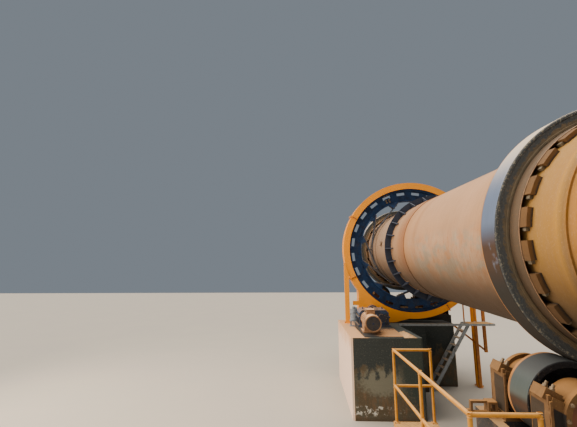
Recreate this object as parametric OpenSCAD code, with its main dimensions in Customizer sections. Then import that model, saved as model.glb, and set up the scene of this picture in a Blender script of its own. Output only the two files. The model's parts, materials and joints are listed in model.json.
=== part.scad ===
// Rotary kiln on two support stations with a girth gear drive
// Millimetres, +Z up, +Y uphill along the drum, +X to the kiln's right side
// Origin on the floor, under the middle of the near tyre

/* [Drum] */
// Outside diameter of the drum shell
shell_d = 2400; // [2300:10:2500]
// Plate thickness of the drum shell
shell_t = 22; // [16:1:30]
// Slope of the drum axis in degrees
slope = 3.3; // [2.5:0.1:3.6]
// Height of the drum axis over the floor at the near tyre
axis_h = 3670; // [3500:10:3900]
// Distance between the two tyres along the drum
tyre_span = 9700; // [9500:10:10000]
// Length of drum below the near tyre
near_overhang = 2700; // [1800:10:3200]
// Length of drum above the far tyre
far_overhang = 2600; // [1800:10:3200]
// Extra thickness of the heavy shell sections
band_t = 18; // [10:1:26]
// Length of the raised bands around the shell
band_l = 110; // [60:10:160]
// Distance of a raised band from its tyre
band_s = 870; // [820:10:920]
// Length of the heavy shell section between the tyres
mid_section_l = 600; // [400:20:800]
// Distance of that section's middle below the far tyre
mid_section_back = 5010; // [4900:10:5100]
// Length of the heavy shell section under the girth gear
gear_section_l = 1050; // [800:10:1200]
// Rise of the seal rings over the shell
end_ring_rise = 60; // [30:1:100]
// Length of the running face of a seal ring
end_ring_l = 250; // [150:5:320]
// Thickness of a seal ring
end_ring_t = 40; // [20:1:55]
// Opening diameter of the seal rings
end_opening_d = 2000; // [1700:10:2200]
// Diameter of the sampling port
port_d = 110; // [80:5:150]
// Distance of the sampling port below the girth gear
port_back = 1445; // [1280:5:1570]

/* [Tyres] */
// Thickness of a tyre between its bore and its tread
tyre_h = 158; // [140:1:180]
// Width of a tyre along the drum
tyre_w = 330; // [280:5:380]
// Gap between the shell and the tyre bore, filled by the pads
pad_h = 62; // [50:1:80]
// Number of pads around a tyre
pad_count = 24; // [16:1:30]
// Width of a pad around the shell, in degrees
pad_angle = 9; // [6:0.5:11]
// Length of the retaining sleeve beside a tyre
sleeve_l = 160; // [100:5:200]
// Thickness of the retaining sleeve
sleeve_t = 16; // [10:1:24]
// Length of a pad outside the sleeve
pad_tail = 110; // [60:5:150]

/* [Support rollers] */
// Angle of each roller from the vertical, in degrees
support_angle = 27; // [25:0.5:30]
// Diameter of a roller
roller_d = 810; // [760:10:850]
// Width of a roller along the drum
roller_w = 370; // [350:5:420]
// Thickness of the roller rim
rim_t = 62; // [50:1:80]
// Half thickness of the roller web
web_half = 45; // [30:1:60]
// Diameter of the roller hub
hub_d = 330; // [300:5:380]
// Shaft diameter in the hub
shaft_d = 200; // [180:5:220]
// Shaft diameter in the bearings
journal_d = 170; // [150:5:175]
// Distance of a bearing's middle from the roller's middle
bearing_s = 390; // [385:5:420]
// Length of a bearing housing along the shaft
bearing_len = 360; // [320:5:370]
// Diameter of a bearing's cap
housing_d = 520; // [480:5:540]
// Diameter of a bearing's outer end flange
end_flange_d = 600; // [580:5:620]
// Diameter of a bearing's lower body
lower_body_d = 820; // [800:5:840]
// Setback of a bearing's foot inside its bolt lugs
foot_setback = 5; // [2:1:12]
// Thickness of a bearing's foot
foot_t = 80; // [60:5:90]
// Reach of a bearing's bolt lugs beyond its lower body
lug_reach = 56; // [45:1:60]
// Height of a bolt lug
lug_h = 100; // [80:5:120]
// Height of a roller shaft over its base frame
bearing_h = 340; // [320:5:360]
// Diameter of a jack screw
jack_d = 42; // [36:1:50]
// Height of a base frame at its low end
base_frame_h = 230; // [200:5:260]

/* [Girth gear] */
// Distance of the girth gear below the far tyre
gear_back = 1325; // [1290:5:1400]
// Number of teeth of the girth gear
gear_teeth = 146; // [142:1:148]
// Number of teeth of the pinion
pinion_teeth = 20; // [18:1:22]
// Tooth module
gear_m = 28; // [27:0.5:28]
// Face width of the girth gear
gear_w = 240; // [200:5:260]
// Face width of the pinion
pinion_w = 280; // [240:5:300]
// Thickness of the gear's toothed rim under the teeth
gear_rim_t = 70; // [60:1:80]
// Inside radius of the gear's web
gear_inner_r = 1590; // [1560:5:1620]
// Thickness of the hoop on the inside of the gear's web
gear_hoop_t = 28; // [20:1:40]
// Thickness of the gear's web
gear_web_t = 50; // [40:1:60]
// Number of windows in the gear's web
window_count = 24; // [20:1:26]
// Length of a window around the gear
window_l = 265; // [220:5:290]
// Height of a window
window_h = 92; // [70:1:100]
// Radius of the windows' middle
window_r = 1855; // [1845:1:1865]
// Number of spring plates
spring_count = 12; // [10:1:14]
// Thickness of a spring plate
spring_t = 26; // [18:1:32]
// Width of a spring plate along the drum
spring_w = 220; // [180:5:240]
// Angle of the pinion from the vertical, in degrees
pinion_angle = 35; // [33:0.5:37]

/* [Gear guard] */
// Gap between the tips of the gear's teeth and the guard's outside
guard_gap = 108; // [95:1:125]
// Height of the guard's front and back plates
guard_plate_h = 190; // [175:1:205]
// Width of the guard along the drum
guard_w = 500; // [440:10:540]
// Sheet thickness of the guard
guard_t = 10; // [6:1:14]
// Height of the flanges where guard segments are bolted together
flange_h = 45; // [30:1:60]
// Thickness of those flanges
flange_t = 12; // [8:1:16]
// Left side of the pinion casing, from the drum axis
casing_x0 = 1735; // [1720:5:1760]
// Right side of the pinion casing, from the drum axis
casing_x1 = 590; // [540:5:640]
// Width of a guard leg
leg_w = 140; // [120:5:180]
// Depth of a guard leg along the drum
leg_d = 120; // [80:5:160]
// Distance of the left legs' middle from the drum axis
left_leg_x = 2110; // [2080:5:2120]
// Distance of the right legs' middle from the drum axis
right_leg_x = 1790; // [1700:5:1900]

/* [Stiffening ring] */
// Distance of the ring with gussets below the girth gear
gusset_ring_back = 2735; // [2400:5:3000]
// Height of the ring over the shell
gusset_ring_h = 165; // [90:5:180]
// Thickness of the ring and its gussets
gusset_ring_t = 22; // [14:1:30]
// Number of gussets
gusset_count = 24; // [18:1:30]
// Length of a gusset along the drum
gusset_l = 250; // [160:5:300]

/* [Drive] */
// Distance of the motor shaft from the pinion shaft
motor_offset = 435; // [420:1:450]
// Height of the motor shaft over the pinion shaft
motor_rise = 60; // [40:1:70]
// Diameter of the pinion shaft
pinion_shaft_d = 170; // [150:5:190]
// Height of the drive shafts over the drive base
drive_shaft_h = 210; // [205:1:215]
// Diameter of the motor body
motor_d = 380; // [360:5:390]
// Diameter of the motor fan cover
fan_cover_d = 400; // [392:2:420]
// Length of the motor body with its fan cover
motor_len = 800; // [700:10:860]
// Distance of the motor's fan end below the girth gear
motor_back = 3045; // [2980:5:3060]
// Distance of the reducer's near face below the girth gear
reducer_back = 1895; // [1875:5:1915]
// Length of the reducer along the drum
reducer_len = 560; // [500:10:600]
// Height of the reducer over its shafts
reducer_rise = 225; // [215:5:240]
// Margin of the reducer outside its shafts
reducer_margin = 180; // [170:5:190]
// Diameter of the flange of the coupling between reducer and pinion
coupling_d = 360; // [340:5:380]

/* [Concrete piers] */
// Margin of the near pier beside its base frame
near_pier_edge = 11; // [5:1:15]
// Length of the near pier along the drum
near_pier_len = 1700; // [1600:10:1800]
// Margin of the far pier in front of and behind its base frame
pier_margin = 50; // [20:5:60]
// Margin of the far pier's raised block beside its base frame
far_pier_edge = 71; // [50:1:100]
// Right face of the far pier's low front block
center_pier_x = 1120; // [1060:10:1180]
// Distance of that block's front face from the girth gear
center_pier_front = 280; // [210:5:310]
// Left face of the drive pier
drive_pier_x = 2350; // [2300:5:2400]
// Inner face of the drive pier, from the drum axis
drive_pier_inner_x = 660; // [620:5:700]
// Reach of the drive pier's ledge past the drum axis
ledge_x = 90; // [60:5:120]
// Distance of that ledge's front face from the girth gear
ledge_front = 860; // [840:5:910]
// Distance of the drive pier's front face from the girth gear
drive_pier_front = 3140; // [3120:5:3180]
// Size of the piers' chamfered corners
pier_chamfer = 45; // [20:1:70]

/* [Platforms] */
// Height of the near platform's deck
deck_h = 1030; // [950:10:1100]
// Width of the near platform
deck_w = 650; // [600:5:700]
// Near end of the near platform
deck_y0 = -660; // [-700:10:-650]
// Far end of the near platform
deck_y1 = 2290; // [2200:10:2400]
// Height of the railings
rail_h = 1080; // [1000:10:1150]
// Diameter of the railing tubes
rail_d = 42; // [34:1:50]
// Height of the beams of the deck frames
deck_beam_h = 60; // [50:1:80]
// Left end of the far walkway, from the drum axis
walk_x0 = 1390; // [1370:10:1420]
// Right end of the far walkway, from the drum axis
walk_x1 = 2110; // [2050:10:2200]
// Depth of the far walkway along the drum
walk_len = 570; // [540:10:575]
// Depth of the bracket under the walkway's right end
walk_bracket_h = 900; // [800:10:950]
// Number of steps of the walkway's ladder
step_count = 8; // [6:1:10]
// Reach of that ladder's foot from the walkway
ladder_run = 1170; // [1100:10:1200]

/* [Fits] */
// Gap between a tyre and its rollers
roll_gap = 0.4; // [0.3:0.1:0.8]
// Gap at welded and seated curved faces
seat_gap = 0.3; // [0.2:0.05:0.5]
// Radial clearance of a shaft in its bearing
shaft_gap = 0.06; // [0.03:0.01:0.1]
// Backlash between the girth gear and the pinion
backlash = 3; // [2:0.5:4]
// Gap between the pinion casing and the drive pier
casing_gap = 12; // [6:1:20]

/* [Hidden] */
$fn = 96;

shell_r = shell_d / 2;
bore_r = shell_r + pad_h;
tyre_r = bore_r + tyre_h;
roller_r = roller_d / 2;
band_r = shell_r + band_t;

// Lengths along the drum, from the near tyre
drum_s0 = -near_overhang;
drum_s1 = tyre_span + far_overhang;
gear_s = tyre_span - gear_back;
gusset_ring_s = gear_s - gusset_ring_back;
port_s = gear_s - port_back;
motor_s = gear_s - motor_back;
reducer_s = gear_s - reducer_back;
sleeve_s = tyre_w / 2 + seat_gap + sleeve_l;
pad_half = sleeve_s + pad_tail;

// Support geometry in the tilted frame of the drum
support_r = tyre_r + roller_r + roll_gap;
roller_x = support_r * sin(support_angle);
roller_drop = support_r * cos(support_angle);
base_drop = roller_drop + bearing_h;
lug_r = lower_body_d / 2 + lug_reach;
foot_w = 2 * (lug_r * cos(support_angle) - foot_setback);
// Half width of a base frame, with room for the jack screws
beam_x = roller_x + foot_w / 2 + 140;
near_pier_x = beam_x + near_pier_edge;
far_pier_x = beam_x + far_pier_edge;

// Gear geometry
gear_pitch_r = gear_m * gear_teeth / 2;
pinion_pitch_r = gear_m * pinion_teeth / 2;
gear_tip_r = gear_pitch_r + gear_m;
gear_root_r = gear_pitch_r - 1.25 * gear_m;
pinion_tip_r = pinion_pitch_r + gear_m;
gear_center = gear_pitch_r + pinion_pitch_r;
guard_r = gear_tip_r + guard_gap;
guard_inner_r = guard_r - guard_plate_h;
pinion_x = -gear_center * sin(pinion_angle);
pinion_drop = gear_center * cos(pinion_angle);
motor_x = pinion_x - motor_offset;
motor_drop = pinion_drop - motor_rise;
drive_drop = pinion_drop + drive_shaft_h;
pinion_dir = 90 + pinion_angle;
spring_seat_r = band_r + seat_gap;

// World height of a plane that lies a given distance under the drum axis
function plane_z(y, drop) = axis_h + y * tan(slope) - drop / cos(slope);
// World Y of a point on the drum axis
function axis_y(s) = s * cos(slope);

// World Y of a point at distance s along the drum and a given distance under its axis
function foot_y(s, drop) = s * cos(slope) + drop * sin(slope);

frame_len = 2 * bearing_s + bearing_len + 200;
near_frame_y = foot_y(0, base_drop);
far_frame_y = foot_y(tyre_span, base_drop);
near_pier_h = plane_z(near_frame_y - frame_len / 2, base_drop) - base_frame_h;
far_pier_h = plane_z(far_frame_y - frame_len / 2, base_drop) - base_frame_h;
drive_plate_min = 16;
drive_pier_y = axis_y(gear_s) - drive_pier_front;
ledge_y = axis_y(gear_s) - ledge_front;
center_pier_y = axis_y(gear_s) - center_pier_front;
drive_pier_h = plane_z(drive_pier_y, drive_drop) - drive_plate_min;
far_pier_y0 = far_frame_y - frame_len / 2 - pier_margin;
far_pier_y1 = far_frame_y + frame_len / 2 + pier_margin;
guard_s0 = gear_s - guard_w / 2;
guard_s1 = gear_s + guard_w / 2;
pinion_bearing_len = 150;
front_bearing_s = guard_s0 - 45 - pinion_bearing_len / 2;
back_bearing_s = guard_s1 + 45 + pinion_bearing_len / 2;
// Lowest plane of the pinion casing, just over the drive pier
casing_drop = (axis_h + axis_y(guard_s0) * tan(slope) - drive_pier_h - casing_gap) * cos(slope);
// The walkway's beams rest on the ledge of the drive pier
walk_h = drive_pier_h + seat_gap + deck_beam_h;

concrete = [0.50, 0.47, 0.42];
dust = [0.77, 0.65, 0.55];
steel = [0.50, 0.57, 0.64];
grease = [0.30, 0.28, 0.25];
guard_yellow = [0.91, 0.59, 0.06];
rail_yellow = [0.86, 0.64, 0.23];
gear_blue = [0.12, 0.19, 0.30];
machine_tan = [0.76, 0.56, 0.31];
machine_blue = [0.16, 0.20, 0.26];

// Places its children on the drum axis, with their Z along the drum and their Y downwards
module on_drum(s = 0) {
  translate([0, 0, axis_h]) rotate([slope, 0, 0]) translate([0, s, 0]) rotate([-90, 0, 0]) children();
}

// Copies its children evenly around the drum axis
module around(count, start = 0) {
  for (i = [0:count - 1]) rotate([0, 0, start + i * 360 / count]) children();
}

module tube(outer_r, inner_r, h) {
  difference() {
    cylinder(r = outer_r, h = h);
    translate([0, 0, -1]) cylinder(r = inner_r, h = h + 2);
  }
}

// Drum

module heavy_section(s, length, t) {
  translate([0, 0, s - length / 2]) cylinder(r = shell_r + t, h = length);
}

// Short flanged tube welded to the shell
module sampling_port() {
  reach = shell_r + 28;
  translate([0, 0, port_s]) rotate([0, 0, -172]) rotate([0, 90, 0]) {
    cylinder(d = port_d, h = reach + 22);
    translate([0, 0, reach]) cylinder(d = port_d + 50, h = 14);
  }
}

module shell() {
  color(dust) on_drum() difference() {
    union() {
      translate([0, 0, drum_s0]) cylinder(r = shell_r, h = drum_s1 - drum_s0);
      heavy_section(-band_s, band_l, band_t);
      heavy_section(tyre_span - mid_section_back, mid_section_l, band_t * 0.7);
      heavy_section(gear_s, gear_section_l, band_t);
      heavy_section(tyre_span + band_s, band_l, band_t);
      sampling_port();
    }
    translate([0, 0, drum_s0 - 1]) cylinder(r = shell_r - shell_t, h = drum_s1 - drum_s0 + 2);
  }
}

// Ring on a drum end: a plate with the opening, and a running face for the seal of a hood
module end_ring() {
  r = shell_r + end_ring_rise;
  seat = shell_r + seat_gap;
  rotate_extrude() polygon([
    [end_opening_d / 2, -end_ring_t], [r, -end_ring_t], [r, end_ring_l - end_ring_t],
    [seat, end_ring_l - end_ring_t], [seat, 0], [end_opening_d / 2, 0]
  ]);
}

module near_end_ring() {
  color(machine_tan) on_drum(drum_s0) end_ring();
}

module far_end_ring() {
  color(machine_tan) on_drum(drum_s1) mirror([0, 0, 1]) end_ring();
}

module tyre(s) {
  chamfer = 14;
  lip = 6;
  lip_r = bore_r + 34;
  rim_r = tyre_r - 42;
  w = tyre_w / 2;
  face = w - lip;
  color(steel) on_drum(s) rotate_extrude() polygon([
    [bore_r, -w + chamfer], [bore_r + chamfer, -w], [lip_r, -w], [lip_r + lip, -face], [rim_r, -face],
    [rim_r + lip, -w], [tyre_r - chamfer, -w], [tyre_r, -w + chamfer], [tyre_r, w - chamfer],
    [tyre_r - chamfer, w], [rim_r + lip, w], [rim_r, face], [lip_r + lip, face], [lip_r, w],
    [bore_r + chamfer, w], [bore_r, w - chamfer]
  ]);
}

// Pads between the shell and a tyre, tied together by a retaining sleeve on both sides of the tyre
module tyre_pads(s) {
  seat = shell_r + seat_gap;
  top = bore_r - seat_gap;
  sleeve_r = bore_r + 10;
  beside = tyre_w / 2 + seat_gap;
  color(grease) on_drum(s) {
    around(pad_count, 4) rotate_extrude(angle = pad_angle) polygon([
      [seat, -pad_half], [top - 6, -pad_half], [top, -sleeve_s - 6], [top, sleeve_s + 6], [top - 6, pad_half],
      [seat, pad_half]
    ]);
    for (side = [-1, 1]) translate([0, 0, side * (beside + sleeve_l / 2) - sleeve_l / 2])
      tube(sleeve_r, sleeve_r - sleeve_t, sleeve_l);
  }
}

module gusset_ring() {
  r0 = shell_r + seat_gap;
  r1 = shell_r + gusset_ring_h;
  tip_r = r1 - 12;
  root_r = shell_r - 20;
  low_r = shell_r + 30;
  color(machine_blue) on_drum(gusset_ring_s) difference() {
    union() {
      cylinder(r = r1, h = gusset_ring_t);
      around(gusset_count) translate([0, gusset_ring_t / 2, 0]) rotate([90, 0, 0]) linear_extrude(gusset_ring_t)
        polygon([[root_r, 1], [tip_r, 1], [tip_r, -20], [low_r, -gusset_l], [root_r, -gusset_l]]);
    }
    translate([0, 0, -gusset_l - 1]) cylinder(r = r0, h = gusset_l + gusset_ring_t + 2);
  }
}

// Involute of a pressure angle, in radians
function inv(a) = tan(a) - a * PI / 180;
pressure = 20;
// Half angle, in degrees, of a tooth at radius r on a gear with pitch radius p
function tooth_half(r, p) =
  let (base = p * cos(pressure), a = acos(min(1, base / max(r, base))))
  ((PI * gear_m / 2 - backlash) / (2 * p) + inv(pressure) - inv(a)) * 180 / PI;
function at_angle(r, a) = [r * cos(a), r * sin(a)];

// Outline of a spur gear, with one tooth centred on the X axis
function gear_outline(teeth, radii) =
  let (p = gear_m * teeth / 2, last = len(radii) - 1)
  [for (i = [0:teeth - 1]) each concat(
    [for (r = radii) at_angle(r, i * 360 / teeth - tooth_half(r, p))],
    [for (k = [last:-1:0]) at_angle(radii[k], i * 360 / teeth + tooth_half(radii[k], p))]
  )];

module spring_frame(i) {
  rotate([0, 0, -171 + i * 360 / spring_count]) children();
}

// Lug on the inside of the gear, seated on the outer face of a spring plate
module spring_lug() {
  u0 = spring_seat_r + spring_t + seat_gap;
  root = gear_inner_r + gear_hoop_t / 2;
  v1 = sqrt(root * root - u0 * u0);
  intersection() {
    translate([u0, v1 - 260, -spring_w / 2]) cube([400, 300, spring_w]);
    translate([0, 0, -spring_w]) cylinder(r = root, h = 2 * spring_w);
  }
}

module girth_gear() {
  rim_inner = gear_root_r - gear_rim_t;
  hoop_r = gear_inner_r + gear_hoop_t;
  pocket = (gear_w - gear_web_t) / 2;
  color(gear_blue) on_drum(gear_s) union() {
    difference() {
      translate([0, 0, -gear_w / 2]) linear_extrude(gear_w) rotate(pinion_dir)
        polygon(gear_outline(gear_teeth, [gear_root_r, gear_pitch_r, gear_tip_r]));
      translate([0, 0, -gear_w]) cylinder(r = gear_inner_r, h = 2 * gear_w);
      translate([0, 0, gear_web_t / 2]) tube(rim_inner, hoop_r, pocket + 5);
      translate([0, 0, -gear_web_t / 2 - pocket - 5]) tube(rim_inner, hoop_r, pocket + 5);
      around(window_count, 8) translate([window_r, 0, 0])
        cube([window_h, window_l, gear_web_t + 2], center = true);
    }
    for (i = [0:spring_count - 1]) spring_frame(i) spring_lug();
  }
}

// Flat plate tangent to the shell, with a foot that fits the shell
module spring_plate() {
  u1 = spring_seat_r + spring_t;
  v1 = sqrt(pow(gear_inner_r - 10, 2) - u1 * u1);
  foot = 210;
  difference() {
    union() {
      translate([spring_seat_r, -foot, -spring_w / 2]) cube([spring_t, foot + v1, spring_w]);
      translate([spring_seat_r - 60, -foot, -spring_w / 2]) cube([61, foot + 60, spring_w]);
    }
    cylinder(r = spring_seat_r, h = spring_w + 2, center = true);
  }
}

module spring_plates() {
  color(dust) on_drum(gear_s) for (i = [0:spring_count - 1]) spring_frame(i) spring_plate();
}

// Support rollers

module roller(s, side) {
  w = roller_w / 2;
  rim_r = roller_r - rim_t;
  hub_r = hub_d / 2;
  hole_r = shaft_d / 2 + shaft_gap;
  chamfer = 10;
  color(steel) on_drum(s) translate([side * roller_x, roller_drop, 0]) rotate_extrude() polygon([
    [hole_r, -w], [hub_r, -w], [hub_r, -web_half], [rim_r, -web_half], [rim_r, -w],
    [roller_r - chamfer, -w], [roller_r, -w + chamfer], [roller_r, w - chamfer], [roller_r - chamfer, w],
    [rim_r, w], [rim_r, web_half], [hub_r, web_half], [hub_r, w], [hole_r, w]
  ]);
}

module roller_shaft(s, side) {
  shoulder = roller_w / 2 + 12;
  end = bearing_s + bearing_len / 2 - 60;
  color(steel) on_drum(s) translate([side * roller_x, roller_drop, 0]) {
    translate([0, 0, -shoulder]) cylinder(d = shaft_d, h = 2 * shoulder);
    translate([0, 0, -end]) cylinder(d = journal_d, h = 2 * end);
  }
}

// Split housing, with its parting line square to the load, bolt lugs on that line and a closed outer end
module bearing_housing(side, outward) {
  half = bearing_len / 2;
  body_half = half - 40;
  lug_l = 160;
  lug_d = 190;
  rib_t = 26;
  cover_t = 28;
  recess_d = end_flange_d - 110;
  sole = bearing_h - seat_gap;
  tilt = -side * outward * support_angle;
  rotate([0, outward > 0 ? 0 : 180, 0]) difference() {
    union() {
      translate([0, 0, -half]) cylinder(d = housing_d, h = bearing_len);
      translate([0, 0, half - 60]) cylinder(d = end_flange_d, h = 60);
      intersection() {
        translate([0, 0, -body_half]) cylinder(d = lower_body_d, h = 2 * body_half);
        rotate(tilt) translate([-lower_body_d, 0, -half]) cube([2 * lower_body_d, lower_body_d, bearing_len]);
        translate([-lower_body_d, -lower_body_d, -half])
          cube([2 * lower_body_d, lower_body_d + sole - 5, bearing_len]);
      }
      translate([-foot_w / 2, sole - foot_t, -body_half]) cube([foot_w, foot_t, 2 * body_half]);
      rotate(tilt) {
        translate([-lug_r, 0, -lug_d / 2]) cube([2 * lug_r, lug_h / 2, lug_d]);
        translate([-lug_r + lug_l, -lug_h / 4, -lug_d / 2]) cube([2 * lug_r - 2 * lug_l, lug_h / 2, lug_d]);
        for (x = [-lug_r, lug_r - lug_l]) translate([x, -lug_h / 2, -lug_d / 2])
          cube([lug_l, lug_h - 5, lug_d]);
      }
      for (x = [-1, 1]) {
        rib_x = x * (lug_r - rib_t) * cos(tilt);
        rib_y = x * (lug_r - rib_t) * sin(tilt);
        translate([rib_x - rib_t / 2, rib_y, -body_half + 10])
          cube([rib_t, sole - 10 - rib_y, 2 * body_half - 20]);
      }
    }
    translate([0, 0, -half - 1]) cylinder(d = journal_d + 2 * shaft_gap, h = bearing_len + 1 - 12 - cover_t);
    translate([0, 0, half - 12]) cylinder(d = recess_d, h = 13);
  }
}

module bearings(s, side) {
  color(machine_tan) on_drum(s) for (outward = [-1, 1])
    translate([side * roller_x, roller_drop, outward * bearing_s]) bearing_housing(side, outward);
}

// Welded frame between a level pier and the tilted bearings: two cross beams and their ties
module base_frame(yc, pier_h) {
  beam_w = bearing_len + 60;
  plate_t = 24;
  rib_count = 8;
  y0 = yc - frame_len / 2;
  rib_gap = (2 * beam_x - plate_t) / rib_count;
  web_h = base_frame_h - 2 * plate_t;
  color(machine_blue) difference() {
    wedge(-beam_x, beam_x, y0, y0 + frame_len, base_drop, pier_h);
    translate([-roller_x - roller_r - 35, y0 + beam_w, pier_h - 10])
      cube([2 * (roller_x + roller_r + 35), frame_len - 2 * beam_w, 2 * base_frame_h]);
    for (i = [0:rib_count - 1]) {
      x = -beam_x + plate_t + i * rib_gap;
      for (y = [y0 - 1, y0 + frame_len - 70]) translate([x, y, pier_h + plate_t])
        cube([rib_gap - plate_t, 71, web_h]);
    }
  }
}

// Bracket on a base frame whose screw bears on a bearing's foot
module jack_screw() {
  bracket_x = 35;
  bracket_l = 100;
  bracket_h = 165;
  bracket_w = 120;
  plate = 24;
  arm = 190;
  y = -foot_t / 2;
  head_x = bracket_l + arm;
  sole = -seat_gap;
  difference() {
    translate([bracket_x, sole - bracket_h, -bracket_w / 2]) cube([bracket_l, bracket_h, bracket_w]);
    translate([bracket_x + plate, sole - bracket_h + plate, -bracket_w])
      cube([bracket_l - 2 * plate, bracket_h, 2 * bracket_w]);
  }
  translate([head_x, sole - bracket_h, -plate]) cube([plate, bracket_h - 20, 2 * plate]);
  translate([bracket_x + bracket_l - 5, sole - bracket_h, -plate]) cube([arm - 15, plate, 2 * plate]);
  translate([seat_gap, y, 0]) rotate([0, 90, 0]) cylinder(d = jack_d, h = head_x + 60);
  for (x = [60, head_x + plate]) translate([x, y, 0]) rotate([0, 90, 0])
    cylinder(d = 1.8 * jack_d, h = 32, $fn = 6);
}

module jack_screws() {
  color(machine_tan) for (s = [0, tyre_span]) on_drum(s) for (side = [-1, 1], outward = [-1, 1])
    translate([side * (roller_x + foot_w / 2), base_drop, outward * bearing_s])
      rotate([0, side > 0 ? 0 : 180, 0]) jack_screw();
}

// Drive

module pinion() {
  base_r = pinion_pitch_r * cos(pressure);
  root_r = pinion_pitch_r - 1.25 * gear_m;
  radii = [root_r, base_r, pinion_pitch_r, pinion_pitch_r + gear_m / 2, pinion_tip_r];
  color(gear_blue) on_drum(gear_s) translate([pinion_x, pinion_drop, -pinion_w / 2]) difference() {
    linear_extrude(pinion_w) rotate(pinion_dir + 180 + 180 / pinion_teeth)
      polygon(gear_outline(pinion_teeth, radii));
    translate([0, 0, -1]) cylinder(d = pinion_shaft_d + 2 * shaft_gap, h = pinion_w + 2);
  }
}

coupling_s0 = reducer_s + reducer_len + 40;
coupling_l = front_bearing_s - pinion_bearing_len / 2 - 60 - coupling_s0;

module pinion_shaft() {
  end = back_bearing_s + pinion_bearing_len / 2 - 20;
  color(steel) on_drum() translate([pinion_x, pinion_drop, 0]) {
    translate([0, 0, coupling_s0]) cylinder(d = pinion_shaft_d, h = end - coupling_s0);
    translate([0, 0, coupling_s0]) cylinder(d = coupling_d - 60, h = coupling_l);
    translate([0, 0, coupling_s0 + coupling_l / 2 - 40]) cylinder(d = coupling_d, h = 80);
  }
}

module pinion_bearing(s, end_closed) {
  w = 340;
  half = pinion_bearing_len / 2;
  sole = drive_shaft_h - seat_gap;
  bore_l = end_closed ? pinion_bearing_len - 9 : pinion_bearing_len + 2;
  on_drum(s) translate([pinion_x, pinion_drop, 0]) difference() {
    union() {
      translate([0, 0, -half]) cylinder(d = w, h = pinion_bearing_len);
      translate([-w / 2, 0, -half + 15]) cube([w, sole - 20, pinion_bearing_len - 30]);
      translate([-w / 2 - 70, sole - 35, -half]) cube([w + 140, 35, pinion_bearing_len]);
      translate([-w / 2 - 40, -35, -half + 30]) cube([w + 80, 70, pinion_bearing_len - 60]);
    }
    translate([0, 0, -half - 1]) cylinder(d = pinion_shaft_d + 2 * shaft_gap, h = bore_l);
  }
}

module pinion_bearings() {
  color(machine_blue) {
    pinion_bearing(front_bearing_s, false);
    pinion_bearing(back_bearing_s, true);
  }
}

// Cast housing in two halves, with a split flange, ribs and covers over its shaft ends
module reducer() {
  x0 = motor_x - reducer_margin;
  x1 = pinion_x + reducer_margin;
  w = x1 - x0;
  top = pinion_drop - reducer_rise;
  sole = drive_drop - seat_gap;
  split = pinion_drop - motor_rise / 2;
  corner = 70;
  rib_t = 16;
  color(machine_blue) on_drum(reducer_s) {
    linear_extrude(reducer_len) polygon([
      [x0, sole - 20], [x0, top + corner], [x0 + corner, top], [x1 - corner, top], [x1, top + corner],
      [x1, sole - 20]
    ]);
    translate([x0 - 40, sole - 36, -20]) cube([w + 80, 36, reducer_len + 40]);
    translate([x0 - 32, split - 22, -18]) cube([w + 64, 44, reducer_len + 36]);
    for (z = [0.2, 0.5, 0.8]) translate([x0 - 24, split, z * reducer_len - rib_t / 2])
      cube([w + 48, sole - 20 - split, rib_t]);
    for (x = [0.22, 0.5, 0.78]) translate([x0 + x * w - rib_t / 2, top + corner, -14])
      cube([rib_t, sole - 20 - top - corner, reducer_len + 28]);
    translate([pinion_x, pinion_drop, -22]) cylinder(d = 250, h = reducer_len + 44);
    translate([pinion_x, pinion_drop, reducer_len]) cylinder(d = 200, h = 35);
    translate([motor_x, motor_drop, -25]) cylinder(d = 210, h = reducer_len + 45);
    translate([x0 + w / 2 - 140, top - 14, reducer_len / 2 - 120]) cube([280, 20, 240]);
    translate([x0 + w / 2, top, reducer_len / 2]) rotate([90, 0, 0]) cylinder(d = 40, h = 60);
    for (x = [0.16, 0.84]) translate([x0 + x * w - 10, top - 55, reducer_len / 2 - 45]) difference() {
      cube([20, 60, 90]);
      translate([-1, 25, 45]) rotate([0, 90, 0]) cylinder(d = 40, h = 22);
    }
  }
}

module motor() {
  fan_l = 170;
  sole_w = 430;
  body_l = motor_len - fan_l;
  sole = drive_shaft_h + motor_rise - seat_gap;
  box_w = 210;
  color(machine_tan) on_drum(motor_s) translate([motor_x, motor_drop, 0]) {
    difference() {
      cylinder(d = fan_cover_d, h = fan_l);
      translate([0, 0, -1]) cylinder(d = fan_cover_d - 50, h = 13);
    }
    translate([0, 0, fan_l - 1]) cylinder(d = motor_d, h = body_l + 1);
    translate([0, 0, motor_len - 45]) cylinder(d = fan_cover_d - 6, h = 45);
    translate([-sole_w / 2, sole - 40, fan_l + 90]) cube([sole_w, 40, body_l - 190]);
    translate([-motor_d / 2 + 10, 0, fan_l + 110]) cube([motor_d - 20, sole - 20, body_l - 230]);
    translate([-box_w / 2, -motor_d / 2 - 90, fan_l + 190]) cube([box_w, 130, 230]);
    translate([-box_w / 2 - 8, -motor_d / 2 - 102, fan_l + 182]) cube([box_w + 16, 13, 246]);
    translate([0, 0, motor_len - 1]) cylinder(d = 120, h = reducer_s - 25 - motor_s - motor_len + 1 - seat_gap);
    translate([0, 0, motor_len + 90]) cylinder(d = 250, h = 70);
    translate([0, 0, motor_len + 168]) cylinder(d = 250, h = 70);
  }
}

module wedge(x0, x1, y0, y1, drop, z0) {
  translate([x0, 0, 0]) rotate([90, 0, 90]) linear_extrude(x1 - x0) polygon([
    [y0, z0], [y1, z0], [y1, plane_z(y1, drop)], [y0, plane_z(y0, drop)]
  ]);
}

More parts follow.
